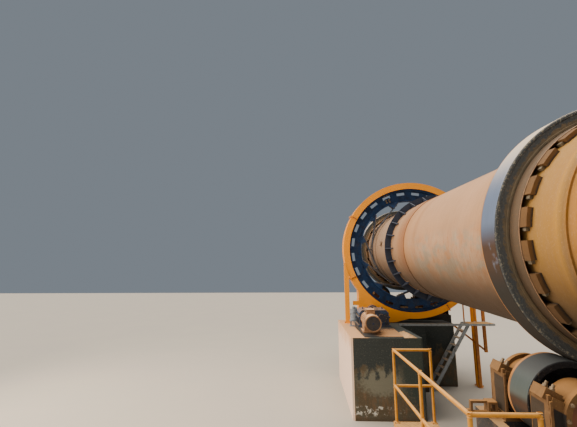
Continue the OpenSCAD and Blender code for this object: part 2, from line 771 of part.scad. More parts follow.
// Tapered plates between the level drive pier and the tilted drive
module drive_base() {
  w = 255;
  half = pinion_bearing_len / 2;
  color(machine_blue) {
    wedge(motor_x - reducer_margin - 60, pinion_x + reducer_margin + 60, drive_pier_y + 80,
      foot_y(reducer_s + reducer_len, drive_drop) + 60, drive_drop, drive_pier_h);
    wedge(pinion_x - w, pinion_x + w, foot_y(front_bearing_s - half, drive_drop) - 50,
      foot_y(guard_s0, drive_drop) - 15, drive_drop, drive_pier_h);
    wedge(pinion_x - w, pinion_x + w, foot_y(guard_s1, casing_drop) + 12,
      foot_y(back_bearing_s + half, drive_drop) + 60, drive_drop, drive_pier_h);
  }
}

// Grease drum with its pump, on a small stand
module grease_unit() {
  stand_h = 165;
  drum_d = 230;
  drum_h = 330;
  color(steel) translate([motor_x - 230, foot_y(reducer_s + reducer_len + 300, drive_drop), drive_pier_h]) {
    translate([-130, -130, 0]) cube([260, 260, 12]);
    for (x = [-1, 1], y = [-1, 1]) translate([x * 95 - 15, y * 95 - 15, 0]) cube([30, 30, stand_h]);
    translate([-125, -125, stand_h - 12]) cube([250, 250, 12]);
    translate([0, 0, stand_h - 1]) cylinder(d = drum_d, h = drum_h);
    for (z = [0.02, 0.34, 0.66, 0.94]) translate([0, 0, stand_h + z * drum_h])
      cylinder(d = drum_d + 14, h = 14);
    translate([0, 0, stand_h + drum_h - 2]) cylinder(d = 90, h = 70);
    translate([30, -20, stand_h + drum_h - 2]) cube([70, 40, 46]);
  }
}

// Gear guard, in segments bolted together at flanges

// Outline of the guard with the pinion casing, seen along the drum
module guard_outline(grow = 0) {
  circle(r = guard_r + grow, $fn = 180);
  polygon([
    [-casing_x0 - grow, 0], [-casing_x0 - grow, casing_drop + grow], [-casing_x1, casing_drop + grow],
    [-100, guard_r - 25 + grow], [0, 0]
  ]);
}

module guard_body() {
  on_drum(guard_s0) difference() {
    linear_extrude(guard_w) guard_outline();
    translate([0, 0, guard_t]) linear_extrude(guard_w - 2 * guard_t) guard_outline(-guard_t);
    translate([0, 0, -1]) cylinder(r = guard_inner_r, h = guard_w + 2, $fn = 180);
    translate([pinion_x, pinion_drop, -1]) cylinder(d = pinion_shaft_d + 40, h = guard_w + 2);
  }
}

// Flange around a joint of the guard, on one side of the joint's plane, welded into the sheets
module guard_flange(angle, side) {
  front = 25;
  r0 = guard_inner_r + guard_t;
  inner_r = guard_r - guard_t / 2;
  color(guard_yellow) on_drum(guard_s0) rotate([0, 0, -angle])
    translate([r0, side > 0 ? 0 : -flange_t, -front]) difference() {
      cube([guard_r + flange_h - r0, flange_t, guard_w + 2 * front]);
      translate([-1, -1, front + guard_t / 2]) cube([inner_r - r0 + 1, flange_t + 2, guard_w - guard_t]);
    }
}

// Sector between two angles, seen along the drum with angles from +X towards +Z
// Its sheets end inside the flanges, which meet at the joints
module guard_segment(a0, a1) {
  reach = 4000;
  mid = (a0 + a1) / 2;
  short = 0.1;
  color(guard_yellow) union() {
    intersection() {
      guard_body();
      on_drum(guard_s0 - 1) linear_extrude(guard_w + 2) polygon([
        [0, 0], at_angle(reach, -a0 - short), at_angle(reach, -mid), at_angle(reach, -a1 + short)
      ]);
    }
    guard_flange(a0, -1);
    guard_flange(a1, 1);
  }
}

module guard_bottom() {
  lug_drop = 1622;
  color(guard_yellow) union() {
    guard_segment(205, 300);
    on_drum(guard_s0) translate([-casing_x0 - 195, lug_drop, 0]) cube([200, 130, flange_t]);
  }
}

module guard_leg(x, z0) {
  w = leg_w;
  t = 14;
  y = axis_y(guard_s0) + 20;
  top_drop = 420;
  reach = 4 * w;
  difference() {
    union() {
      translate([x - w / 2, y, z0]) cube([w, t, axis_h]);
      translate([x - w / 2, y, z0]) cube([t, leg_d, axis_h]);
      translate([x + w / 2 - t, y, z0]) cube([t, leg_d, axis_h]);
      translate([x - w / 2 - 30, y - 30, z0]) cube([w + 60, leg_d + 60, 20]);
    }
    on_drum(gear_s - guard_w) cylinder(r = guard_r + seat_gap, h = 2 * guard_w, $fn = 180);
    translate([x - w, y - reach, plane_z(y, top_drop)]) cube([2 * w, 2 * reach, axis_h * 2]);
  }
}

module guard_legs() {
  color(guard_yellow) {
    guard_leg(-left_leg_x, drive_pier_h);
    guard_leg(right_leg_x, 0);
  }
}

// Concrete

module block(x0, x1, y0, y1, h) {
  c = pier_chamfer;
  linear_extrude(h) polygon([
    [x0 + c, y0], [x1 - c, y0], [x1, y0 + c], [x1, y1 - c], [x1 - c, y1], [x0 + c, y1], [x0, y1 - c],
    [x0, y0 + c]
  ]);
}

module near_pier() {
  color(concrete) block(-near_pier_x, near_pier_x, near_frame_y - near_pier_len / 2,
    near_frame_y + near_pier_len / 2, near_pier_h);
}

module far_pier() {
  color(concrete) union() {
    block(-far_pier_x, far_pier_x, far_pier_y0, far_pier_y1, far_pier_h);
    translate([ledge_x, center_pier_y, 0])
      cube([center_pier_x - ledge_x, far_pier_y0 - center_pier_y + 2 * pier_chamfer, drive_pier_h]);
  }
}

// Pier of the drive, with a ledge under the drum
module drive_pier() {
  c = pier_chamfer;
  x0 = -drive_pier_x;
  x1 = -drive_pier_inner_x;
  color(concrete) linear_extrude(drive_pier_h) polygon([
    [x0 + c, drive_pier_y], [x1 - c, drive_pier_y], [x1, drive_pier_y + c], [x1, ledge_y], [ledge_x, ledge_y],
    [ledge_x, far_pier_y0], [x0, far_pier_y0], [x0, drive_pier_y + c]
  ]);
}

// Platforms

module post(x, y, z, h) {
  translate([x, y, z]) cylinder(d = rail_d, h = h, $fn = 24);
}

module bar_y(x, y0, y1, z) {
  translate([x, y0, z]) rotate([-90, 0, 0]) cylinder(d = rail_d, h = y1 - y0, $fn = 24);
}

module bar_x(x0, x1, y, z) {
  translate([x0, y, z]) rotate([0, 90, 0]) cylinder(d = rail_d, h = x1 - x0, $fn = 24);
}

// Deck of plate on a frame of bars, with its top at the given height
module deck(x0, x1, y0, y1, h, cells) {
  plate = 8;
  edge = 40;
  cell = (y1 - y0 - edge) / cells;
  difference() {
    translate([x0, y0, h - deck_beam_h]) cube([x1 - x0, y1 - y0, deck_beam_h]);
    for (i = [0:cells - 1]) translate([x0 + edge, y0 + edge + i * cell, h - deck_beam_h - 1])
      cube([x1 - x0 - 2 * edge, cell - edge, deck_beam_h - plate + 1]);
  }
}

module stanchion(x, y, h) {
  size = 80;
  translate([x - size / 2, y, 0]) cube([size, size, h + 1]);
  translate([x - size / 2 - 25, y - 25, 0]) cube([size + 50, size + 50, 12]);
}

module platform_deck() {
  x0 = -near_pier_x - deck_w;
  color(rail_yellow) union() {
    deck(x0, -near_pier_x, deck_y0, deck_y1, deck_h, 5);
    for (x = [x0 + 80, -near_pier_x - 80], y = [deck_y0 + 60, deck_y1 - 140])
      stanchion(x, y, deck_h - deck_beam_h);
  }
}

module platform_railing() {
  x0 = -near_pier_x - deck_w + rail_d;
  x1 = -near_pier_x - 30;
  y0 = deck_y0 + rail_d;
  y1 = deck_y1 - rail_d;
  color(rail_yellow) {
    for (y = [y0, (y0 + y1) / 2, y1]) post(x0, y, deck_h, rail_h);
    for (y = [y0, y1]) post(x1, y, deck_h, rail_h);
    for (z = [rail_h / 2, rail_h]) {
      bar_y(x0, y0, y1, deck_h + z);
      for (y = [y0, y1]) bar_x(x0, x1, y, deck_h + z);
    }
  }
}

// Walkway beside the far pier's low block, carried by a beam on the ledge, a stanchion and a bracket
module walkway() {
  y1 = ledge_y + walk_len;
  mid_x = (walk_x0 + walk_x1) / 2;
  rail_y = y1 - rail_d;
  edge = 40;
  post_w = 80;
  post_x = walk_x1 - post_w;
  brace_t = 20;
  brace_y = center_pier_y + 10;
  brace_h = 70;
  brace_top = drive_pier_h - 10;
  low = walk_h - walk_bracket_h;
  color(steel) union() {
    deck(walk_x0, walk_x1, ledge_y, y1, walk_h, 2);
    translate([-drive_pier_inner_x + 10, ledge_y, walk_h - deck_beam_h])
      cube([walk_x0 + drive_pier_inner_x, edge, deck_beam_h]);
    stanchion(mid_x, y1 - 100, walk_h - deck_beam_h);
    translate([post_x - post_w / 2, y1 - edge, low])
      cube([post_w, brace_y + brace_t - y1 + edge, walk_bracket_h + rail_h + rail_d]);
    translate([0, brace_y + brace_t, 0]) rotate([90, 0, 0]) linear_extrude(brace_t) polygon([
      [center_pier_x + seat_gap, brace_top - brace_h], [post_x, low + 10], [post_x, low + 10 + brace_h],
      [center_pier_x + seat_gap, brace_top]
    ]);
    for (x = [walk_x0 + rail_d, mid_x]) post(x, rail_y, walk_h - 10, rail_h + 10);
    for (z = [rail_h / 2, rail_h]) bar_x(walk_x0 + rail_d, post_x, rail_y, walk_h + z);
  }
}

// Steep steps from the floor to the left end of the walkway
module walkway_ladder() {
  w = walk_len - 80;
  stringer = [90, 36];
  margin = 200;
  tread = 120;
  tread_t = 24;
  tilt = atan(ladder_run / walk_h);
  rise = walk_h / (step_count + 1);
  color(machine_blue) translate([walk_x0, ledge_y + 60, 0]) difference() {
    union() {
      translate([-ladder_run, 0, 0]) rotate([0, tilt, 0]) for (y = [0, w - stringer[1]])
        translate([-stringer[0] / 2, y, -margin])
          cube([stringer[0], stringer[1], walk_h / cos(tilt) + 2 * margin]);
      for (i = [1:step_count])
        translate([i * rise * tan(tilt) - ladder_run - tread / 2, stringer[1] / 2, i * rise - tread_t])
          cube([tread, w - stringer[1], tread_t]);
    }
    translate([-2 * ladder_run, -1, -2 * margin]) cube([3 * ladder_run, w + 2, 2 * margin]);
    translate([-seat_gap, -1, -1]) cube([ladder_run, w + 2, 2 * walk_h]);
    translate([-2 * ladder_run, -1, walk_h]) cube([3 * ladder_run, w + 2, walk_h]);
  }
}

shell();
near_end_ring();
far_end_ring();
tyre(0);  // near_tyre
tyre(tyre_span);  // far_tyre
tyre_pads(0);  // near_tyre_pads
tyre_pads(tyre_span);  // far_tyre_pads
gusset_ring();
girth_gear();
spring_plates();
roller(0, -1);  // near_left_roller
roller(0, 1);  // near_right_roller
roller(tyre_span, -1);  // far_left_roller
roller(tyre_span, 1);  // far_right_roller
roller_shaft(0, -1);  // near_left_shaft
roller_shaft(0, 1);  // near_right_shaft
roller_shaft(tyre_span, -1);  // far_left_shaft
roller_shaft(tyre_span, 1);  // far_right_shaft
bearings(0, -1);  // near_left_bearings
bearings(0, 1);  // near_right_bearings
bearings(tyre_span, -1);  // far_left_bearings
bearings(tyre_span, 1);  // far_right_bearings
base_frame(near_frame_y, near_pier_h);  // near_base_frame
base_frame(far_frame_y, far_pier_h);  // far_base_frame
pinion();
pinion_shaft();
pinion_bearings();
reducer();
motor();
drive_base();
grease_unit();
guard_segment(30, 150);  // guard_top
guard_segment(150, 205);  // guard_left
guard_segment(-60, 30);  // guard_right
guard_bottom();
guard_legs();
near_pier();
far_pier();
drive_pier();
platform_deck();
platform_railing();
walkway();
walkway_ladder();
jack_screws();
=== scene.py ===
# Looks of a rotary kiln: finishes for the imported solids, and the fasteners, welds and fittings on them
# Metres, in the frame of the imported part: +Z up, +Y uphill along the drum, origin on the floor

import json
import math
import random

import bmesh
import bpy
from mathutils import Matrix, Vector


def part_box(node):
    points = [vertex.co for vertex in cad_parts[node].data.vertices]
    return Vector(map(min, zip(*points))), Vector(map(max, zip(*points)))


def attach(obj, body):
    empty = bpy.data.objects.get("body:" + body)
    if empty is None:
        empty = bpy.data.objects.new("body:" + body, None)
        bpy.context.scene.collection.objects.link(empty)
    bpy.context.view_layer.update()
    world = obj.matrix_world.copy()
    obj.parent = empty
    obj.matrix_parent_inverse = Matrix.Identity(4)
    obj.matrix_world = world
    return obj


bl_info = {
    "name": "Rotary kiln looks",
    "version": (1, 0, 0),
    "blender": (4, 5, 0),
    "location": "View3D > Sidebar > Kiln",
    "description": "Dresses a rotary kiln on two roller stations with its finishes and fittings",
    "category": "Object",
}

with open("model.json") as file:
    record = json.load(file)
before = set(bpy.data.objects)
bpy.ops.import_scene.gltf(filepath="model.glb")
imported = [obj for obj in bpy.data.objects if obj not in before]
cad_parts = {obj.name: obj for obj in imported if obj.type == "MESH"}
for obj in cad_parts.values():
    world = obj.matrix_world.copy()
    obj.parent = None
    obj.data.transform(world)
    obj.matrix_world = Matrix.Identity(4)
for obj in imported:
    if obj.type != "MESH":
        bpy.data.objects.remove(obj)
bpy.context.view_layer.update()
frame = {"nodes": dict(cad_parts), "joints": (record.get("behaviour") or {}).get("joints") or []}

MM = 0.001
JOINTS = {joint["name"]: joint for joint in frame["joints"]}
ORIGIN = Vector(JOINTS["drum_spin"]["pos_m"])
AXIS = Vector(JOINTS["drum_spin"]["axis"]).normalized()
RIGHT = Vector((1, 0, 0))
DOWN = AXIS.cross(RIGHT)
UP = Vector((0, 0, 1))
SLOPE = math.atan2(AXIS.z, AXIS.y)
PINION = Vector(JOINTS["pinion_spin"]["pos_m"])
ROLLERS = {name: Vector(JOINTS[name + "_spin"]["pos_m"])
           for name in ("near_left", "near_right", "far_left", "far_right")}
STATIONS = ("near", "far")


def square_part(offset):
    """The part of an offset that is square to the drum's axis."""
    return offset - AXIS * offset.dot(AXIS)


def reach(node, centre=ORIGIN, beyond=0.0):
    """A node's least and greatest distance along the drum, and radius about a centre, outside a radius."""
    found = []
    for vertex in frame["nodes"][node].data.vertices:
        radius = square_part(vertex.co - centre).length
        if radius > beyond:
            found.append(((vertex.co - ORIGIN).dot(AXIS), radius))
    along, radii = zip(*found)
    return min(along), max(along), min(radii), max(radii)


SHELL_R = reach("near_tyre_pads")[2]
GUARD_S0, GUARD_S1 = reach("guard_top", beyond=2.0)[:2]
GUARD_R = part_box("guard_right")[1].x
PINION_DROP = (PINION - ORIGIN).dot(DOWN)
PIER_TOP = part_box("drive_pier")[1].z


def linear(code):
    """An sRGB hex value as the linear colour that a shader takes."""
    parts = [int(code[i:i + 2], 16) / 255 for i in (1, 3, 5)]
    return tuple(c / 12.92 if c <= 0.04045 else ((c + 0.055) / 1.055) ** 2.4 for c in parts) + (1.0,)


# Sizes and colours that a user would change

def measure(name, description, default):
    """A size in metres."""
    return bpy.props.FloatProperty(name=name, description=description, default=default, unit="LENGTH")


def tint(name, description, code):
    """A colour, from a hex value."""
    return bpy.props.FloatVectorProperty(
        name=name, description=description, subtype="COLOR", size=3, default=linear(code)[:3])


class KilnSizes(bpy.types.PropertyGroup):
    """Sizes of the small pieces."""
    frame_bolt: measure("Frame bolt", "Width across flats of the bolts on frames and bearings", 0.046)
    cover_bolt: measure("Cover bolt", "Width across flats of the bolts on covers and flanges", 0.030)
    sheet_bolt: measure("Sheet bolt", "Width across flats of the bolts that join the guard's segments", 0.026)
    weld_width: measure("Weld width", "Width of the weld beads on the shell", 0.024)
    fin_height: measure("Fin height", "Height of the cooling fins on the motor", 0.022)
    fin_count: bpy.props.IntProperty(
        name="Fins", description="Number of cooling fins around the motor", default=36, min=12, max=60)


class KilnPaints(bpy.types.PropertyGroup):
    """Colours of the painted pieces."""
    guard: tint("Guard", "Enamel on the gear guard", "#F09A00")
    rails: tint("Rails", "Enamel on the near platform and its railing", "#C4861A")
    walkway: tint("Walkway", "Paint on the walkway's deck and ladder", "#8A9094")
    posts: tint("Walkway posts", "Primer on the walkway's posts and brace", "#B06C26")
    motor: tint("Motor", "Enamel on the motor", "#94704F")
    reducer: tint("Reducer", "Enamel on the reducer and the pinion's bearings", "#26446A")


class KilnStage(bpy.types.PropertyGroup):
    """Floor, lights and camera."""
    lens: bpy.props.FloatProperty(
        name="Lens", description="Focal length for a 36 mm wide frame, in millimetres", default=23.19)
    floor_size: measure("Floor size", "Width of the floor", 160.0)
    floor_colour: tint("Floor colour", "Colour of the pale floor", "#A29D95")
    roof_light: bpy.props.FloatProperty(
        name="Roof light", description="Strength of the wide soft light overhead, in watts per square metre",
        default=6.6)
    side_light: bpy.props.FloatProperty(
        name="Side light", description="Power of the fill light on the left, in watts", default=1500.0)
    sky: bpy.props.FloatProperty(name="Sky", description="Strength of the even light all round", default=0.33)


# Materials

def paint(name):
    """One of the colours that a user would change."""
    return (*getattr(bpy.context.scene.kiln_paints, name), 1.0)


def add(tree, kind, inputs=None, **settings):
    """Adds one shader node with its settings, and links or sets its inputs; a hex value is a colour."""
    node = tree.nodes.new("ShaderNode" + kind)
    for key, value in settings.items():
        setattr(node, key, value)
    for key, value in (inputs or {}).items():
        if isinstance(value, bpy.types.NodeSocket):
            tree.links.new(value, node.inputs[key])
        else:
            node.inputs[key].default_value = linear(value) if isinstance(value, str) else value
    return node


def start(name):
    """A new material, its node tree, and coordinates in metres that stay with the piece."""
    material = bpy.data.materials.new(name)
    material.use_nodes = True
    tree = material.node_tree
    tree.nodes.clear()
    return material, tree, add(tree, "TexCoord").outputs["Object"]


def blots(tree, place, size_mm, low, high, most=1.0, stretch=(1, 1, 1), seed=0.0, least=0.0):
    """Share of a blotchy layer, whose blots are about size_mm across, between least and most."""
    scale = [1000 / size_mm / k for k in stretch]
    spread = add(tree, "Mapping", {"Vector": place, "Location": (seed, seed, seed), "Scale": scale})
    noise = add(tree, "TexNoise",
                {"Vector": spread.outputs[0], "Scale": 1.0, "Detail": 5.0, "Roughness": 0.62})
    share = add(tree, "MapRange", {
        "Value": noise.outputs[0], "From Min": low, "From Max": high, "To Min": least, "To Max": most})
    return share.outputs[0]


def grain(tree, place, size_mm):
    """Relief of an even grain, about size_mm across."""
    return blots(tree, place, size_mm, 0.3, 0.7)


def between(tree, value, low, high, most=1.0, least=0.0):
    """Share that goes from least to most as a value goes from low to high."""
    return add(tree, "MapRange", {
        "Value": value, "From Min": low, "From Max": high, "To Min": least, "To Max": most},
        interpolation_type="SMOOTHSTEP").outputs[0]


def layers(tree, base, stack):
    """Colours laid one over another, each where its share says."""
    colour = base
    for share, over in stack:
        colour = add(tree, "Mix", {0: share, 6: colour, 7: over}, data_type="RGBA").outputs[2]
    return colour


def bands(tree, value, low, high, stops):
    """A colour that changes along a value, from (value, hex) stops."""
    share = add(tree, "MapRange", {"Value": value, "From Min": low, "From Max": high}).outputs[0]
    ramp = add(tree, "ValToRGB", {0: share})
    elements = ramp.color_ramp.elements
    while len(elements) < len(stops):
        elements.new(0.5)
    for element, (position, code) in zip(elements, stops):
        element.position = (position - low) / (high - low)
        element.color = linear(code)
    return ramp.outputs[0]


def product(tree, *shares):
    """Where all of these shares hold."""
    total = shares[0]
    for share in shares[1:]:
        total = add(tree, "Math", {0: total, 1: share}, operation="MULTIPLY").outputs[0]
    return total


def settled(tree, low=0.35, high=0.95, most=1.0):
    """Share of what settles on faces that look up, on pieces that stand still."""
    normal = add(tree, "TexCoord").outputs["Normal"]
    up = add(tree, "SeparateXYZ", {0: normal}).outputs[2]
    return between(tree, up, low, high, most)


def square_to(tree, place, centre):
    """Coordinates about the drum's direction through a centre: the vector, its part along, its radius."""
    shift = Matrix.Rotation(-SLOPE, 3, "X") @ -centre
    vector = add(tree, "Mapping",
                 {"Vector": place, "Location": shift, "Rotation": (-SLOPE, 0, 0)}).outputs[0]
    split = add(tree, "SeparateXYZ", {0: vector})
    flat = add(tree, "CombineXYZ", {"X": split.outputs[0], "Z": split.outputs[2]}).outputs[0]
    radius = add(tree, "VectorMath", {0: flat}, operation="LENGTH").outputs["Value"]
    return vector, split.outputs[1], radius


def height_over(tree, centre):
    """Height over a centre in the hall, so that the side facing down stays in the dark as a part turns."""
    spot = add(tree, "NewGeometry").outputs["Position"]
    height = add(tree, "SeparateXYZ", {0: spot}).outputs[2]
    return add(tree, "Math", {0: height, 1: centre.z}, operation="SUBTRACT").outputs[0]


def height_over_axis(tree, along):
    """Height over the sloping axis of the drum, at a distance along it."""
    fall = add(tree, "Math", {0: along, 1: -AXIS.z}, operation="MULTIPLY").outputs[0]
    return add(tree, "Math", {0: height_over(tree, ORIGIN), 1: fall}, operation="ADD").outputs[0]


def stain(tree, place, centre, size, edge=0.35, ragged_mm=60.0):
    """Share of a ragged stain around a point, whose half sizes are given along X, Y and Z."""
    shift = add(tree, "VectorMath", {0: place, 1: centre}, operation="SUBTRACT").outputs[0]
    scaled = add(tree, "VectorMath", {0: shift, 1: [1 / s for s in size]}, operation="MULTIPLY").outputs[0]
    far = add(tree, "VectorMath", {0: scaled}, operation="LENGTH").outputs["Value"]
    rough = blots(tree, place, ragged_mm, 0.3, 0.7, 0.6)
    ragged = add(tree, "Math", {0: far, 1: rough}, operation="ADD").outputs[0]
    return between(tree, ragged, 1.3 + edge, 1.3 - edge)


def surface(material, colour, roughness, metallic=0.0, relief=None, depth_mm=1.0, coat=0.0):
    """Gives a material its shader, with its relief as bump."""
    tree = material.node_tree
    inputs = {"Base Color": colour, "Roughness": roughness, "Metallic": metallic, "Coat Weight": coat}
    if relief is not None:
        bump = add(tree, "Bump", {"Height": relief, "Distance": depth_mm * MM, "Strength": 1.0})
        inputs["Normal"] = bump.outputs[0]
    shader = add(tree, "BsdfPrincipled", inputs)
    add(tree, "OutputMaterial", {"Surface": shader.outputs[0]})
    return material


def patch(code, *values, **options):
    """Blotches of a colour for a coating's stack; the values are those of blots."""
    return lambda tree, place: (blots(tree, place, *values, **options), code)


def dust(code, *values, **options):
    """Settled dust for a coating's stack; the values are those of settled."""
    return lambda tree, place: (settled(tree, *values, **options), code)


def coating(name, base, stack, roughness, metallic, grain_mm, depth_mm, coat=0.0):
    """A finish made of a base colour and what lies on it, over an even grain."""
    material, tree, place = start(name)
    colour = layers(tree, base, [lay(tree, place) for lay in stack])
    return surface(material, colour, roughness, metallic, grain(tree, place, grain_mm), depth_mm, coat)


def rolled_plate():
    """Hot-rolled plate under dust: golden at the low end, pinkish above, scoured grey on one side, with
    painted shade on its underside.
    """
    material, tree, place = start("dusty_hot_rolled_plate")
    vector, along = square_to(tree, place, ORIGIN)[:2]
    rise = add(tree, "SeparateXYZ", {0: vector}).outputs[2]
    base = bands(tree, along, -2.7, 12.3, [
        (-2.7, "#A06A0A"), (-0.98, "#A8700E"), (-0.90, "#7A5820"), (-0.84, "#906A20"), (-0.79, "#B98618"),
        (-0.74, "#A07210"), (-0.25, "#94702A"), (0.2, "#A87E56"), (1.2, "#B28B69"), (3.4, "#AE8663"),
        (3.6, "#A0744E"), (3.8, "#AD845F"), (4.3, "#A87A50"), (4.45, "#8A562E"), (4.9, "#946A46"),
        (5.1, "#9C7654"), (6.2, "#8C745F"), (12.3, "#846F60")])
    lower = product(tree, between(tree, rise, 0.3, 0.02), between(tree, rise, -0.85, -0.45),
                    between(tree, along, 0.25, 0.7), between(tree, along, 4.3, 3.2))
    around = (7, 0.3, 7)
    scratches = blots(tree, vector, 26, 0.44, 0.6, 0.8, (8, 0.4, 8), 13.0)
    colour = layers(tree, base, [
        (blots(tree, vector, 1100, 0.45, 0.7, 0.35, seed=7.0), "#937353"),
        (blots(tree, vector, 60, 0.44, 0.68, 0.3, around), "#86694F"),
        (product(tree, lower, blots(tree, vector, 280, 0.46, 0.56, 0.6, seed=21.0)), "#A56F42"),
        (product(tree, lower, blots(tree, vector, 240, 0.48, 0.58, 0.7, (1, 1.6, 1), 17.0)), "#878272"),
        (product(tree, lower, scratches, blots(tree, vector, 420, 0.42, 0.56, 0.55, seed=5.0)), "#BCAD99"),
        (blots(tree, vector, 22, 0.54, 0.72, 0.2, seed=3.0), "#C9A985"),
        (blots(tree, vector, 15, 0.56, 0.72, 0.3, seed=9.0), "#7C6148"),
        # Painted shade: darker towards the bottom of the drum, by height in the hall, so that it stays low as
        # the drum turns.
        (between(tree, height_over_axis(tree, along), 0.1, -0.85, 0.9), "#332B22")])
    return surface(material, colour, blots(tree, vector, 300, 0.35, 0.7, 0.9, least=0.7), 0.05,
                   grain(tree, vector, 9), 0.8)


def rusty_plate():
    """Weathered plate: a brown skin of rust under dust, quite matt."""
    return coating("rusted_steel_plate", "#8A6A48", [
        patch("#6A4427", 240, 0.42, 0.62, 0.8),
        patch("#B08A5E", 40, 0.5, 0.68, 0.6, seed=5.0)], 0.85, 0.1, 7, 0.7)


def rolled_tread(name, centre, edge_r, half_width, crust, rim, speck, body, top, seam):
    """Cast steel that rolls: blue-grey tread, with the colour top painted over its upper part, a painted
    brown reflection of the floor at mid height and painted shade low down, and greasy crusted faces.
    """
    material, tree, place = start(name)
    vector, along, radius = square_to(tree, place, centre)
    lift = add(tree, "Math", {0: height_over(tree, centre), 1: 1 / edge_r}, operation="MULTIPLY").outputs[0]
    tread = between(tree, radius, edge_r - 0.004, edge_r - 0.002)
    edge = product(tree, tread, between(tree, along, half_width - seam * 1.4, half_width - seam))
    # Painted light on the tread, by height in the hall: the colour top over its upper part, a blotched brown
    # band at mid height that is a painted reflection of the floor, and painted shade low down.
    bright = layers(tree, body, [
        (blots(tree, vector, 30, 0.4, 0.7, 0.3, (12, 0.4, 12)), "#5E6A78"),
        (between(tree, lift, 0.3, 0.8, 0.9), top),
        (product(tree, between(tree, lift, 0.14, -0.08), blots(tree, vector, 200, 0.2, 0.4)), "#402B1B"),
        (between(tree, lift, -0.12, -0.4, 0.97), "#1F1E1C")])
    shift = blots(tree, vector, 45, 0.3, 0.7, 0.05, seed=5.0)
    ragged = add(tree, "Math", {0: radius, 1: shift}, operation="ADD").outputs[0]
    faces = layers(tree, crust, [
        (blots(tree, vector, 260, 0.42, 0.64, 0.6, seed=2.0), "#45423A"),
        (between(tree, ragged, edge_r - 0.075, edge_r - 0.055, 0.95), rim),
        (product(tree, between(tree, radius, edge_r - 0.07, edge_r - 0.02),
                 blots(tree, vector, 24, 0.53, 0.62, 0.8)), speck),
        (blots(tree, vector, 34, 0.56, 0.7, 0.4, seed=9.0), "#6F6654")])
    colour = layers(tree, faces, [(tread, bright), (edge, "#B07C48")])
    shine = product(tree, tread, between(tree, lift, -0.2, 0.1), between(tree, lift, 0.8, 0.3, 1.0, 0.3))
    rough = between(tree, shine, 0.0, 1.0, 0.42, 0.9)
    metal = between(tree, shine, 0.0, 1.0, 0.6, 0.0)
    relief = layers(tree, blots(tree, vector, 22, 0.35, 0.65), [(tread, (0.5, 0.5, 0.5, 1.0))])
    return surface(material, colour, rough, metal, relief, 3.0)


def greasy_pads():
    """Wear plates and their sleeve: golden-brown dust stuck on grease, dark where the sleeve is smeared, with
    painted shade at the foot of the plates by the shell and towards the bottom of the drum.
    """
    material, tree, place = start("greased_wear_plate")
    vector, along, radius = square_to(tree, place, ORIGIN)
    colour = layers(tree, "#63441C", [
        (blots(tree, vector, 220, 0.42, 0.66, 0.6), "#523A1C"),
        # Painted shade: near black at the foot of the plates by the shell, where shade falls between them.
        (between(tree, radius, SHELL_R + 0.03, SHELL_R + 0.004, 0.9), "#14161C"),
        (between(tree, radius, SHELL_R + 0.0600, SHELL_R + 0.0618, 0.8), "#53473A"),
        (blots(tree, vector, 26, 0.54, 0.7, 0.4, seed=3.0), "#7C5A30"),
        # Painted shade: darker towards the bottom of the drum, by height in the hall.
        (between(tree, height_over_axis(tree, along), 0.2, -1.0, 0.6), "#2E2418")])
    return surface(material, colour, 0.78, 0.0, grain(tree, vector, 11), 1.2)


def greasy_keeper():
    """Stop blocks of the wear plates: steel scraped half clean, grey-brown."""
    return coating("scraped_stop_block", "#6F6654", [
        patch("#3E3A33", 30, 0.45, 0.65, 0.8)], 0.7, 0.1, 9, 0.8)


def dark_ring_paint():
    """Brushed-on dark paint, dulled by dust: blue-black."""
    return coating("dusty_dark_paint", "#1E2A40", [
        patch("#333B48", 200, 0.45, 0.7, 0.4),
        patch("#6A5A4A", 30, 0.58, 0.7, 0.3, seed=3.0)], 0.7, 0.0, 8, 0.5)


def greased_gear():
    """Cast steel under black-blue open gear grease: dark, and a little glossy where it is wet."""
    material, tree, place = start("cast_steel_in_gear_grease")
    wet = blots(tree, place, 180, 0.42, 0.62)
    colour = layers(tree, "#173A66", [
        (wet, "#0F2444"),
        (blots(tree, place, 90, 0.55, 0.7, 0.5, seed=6.0), "#33517A"),
        (blots(tree, place, 420, 0.6, 0.72, 0.3, seed=8.0), "#4E4A48")])
    return surface(material, colour, between(tree, wet, 0, 1, 0.38, 0.72), 0.2, grain(tree, place, 14), 1.0)


def choked_screen():
    """Fine wire screen choked with dust and oil: near black, quite matt.

    Its wires are too fine to show, so a grain of 4 mm stands for them.
    """
    return coating("choked_wire_screen", "#4A4238", [
        patch("#2B2A2A", 70, 0.45, 0.65, 0.6)], 0.85, 0.0, 4, 0.6)


def spring_steel():
    """Flat spring plates: rolled steel with a grey-blue skin and pinkish dust."""
    return coating("dusty_spring_plate", "#3A4252", [
        patch("#7D6A5C", 260, 0.44, 0.66, 0.6),
        patch("#262D3C", 60, 0.54, 0.7, 0.7, seed=3.0)], 0.68, 0.15, 9, 0.6)


def turned_shaft():
    """Turned steel with an oil film: grey and fairly smooth, with dark patches where dirt sticks."""
    return coating("turned_oiled_steel", "#6C6F72", [
        patch("#3B342C", 70, 0.5, 0.7, 0.7)], 0.38, 0.8, 6, 0.2)


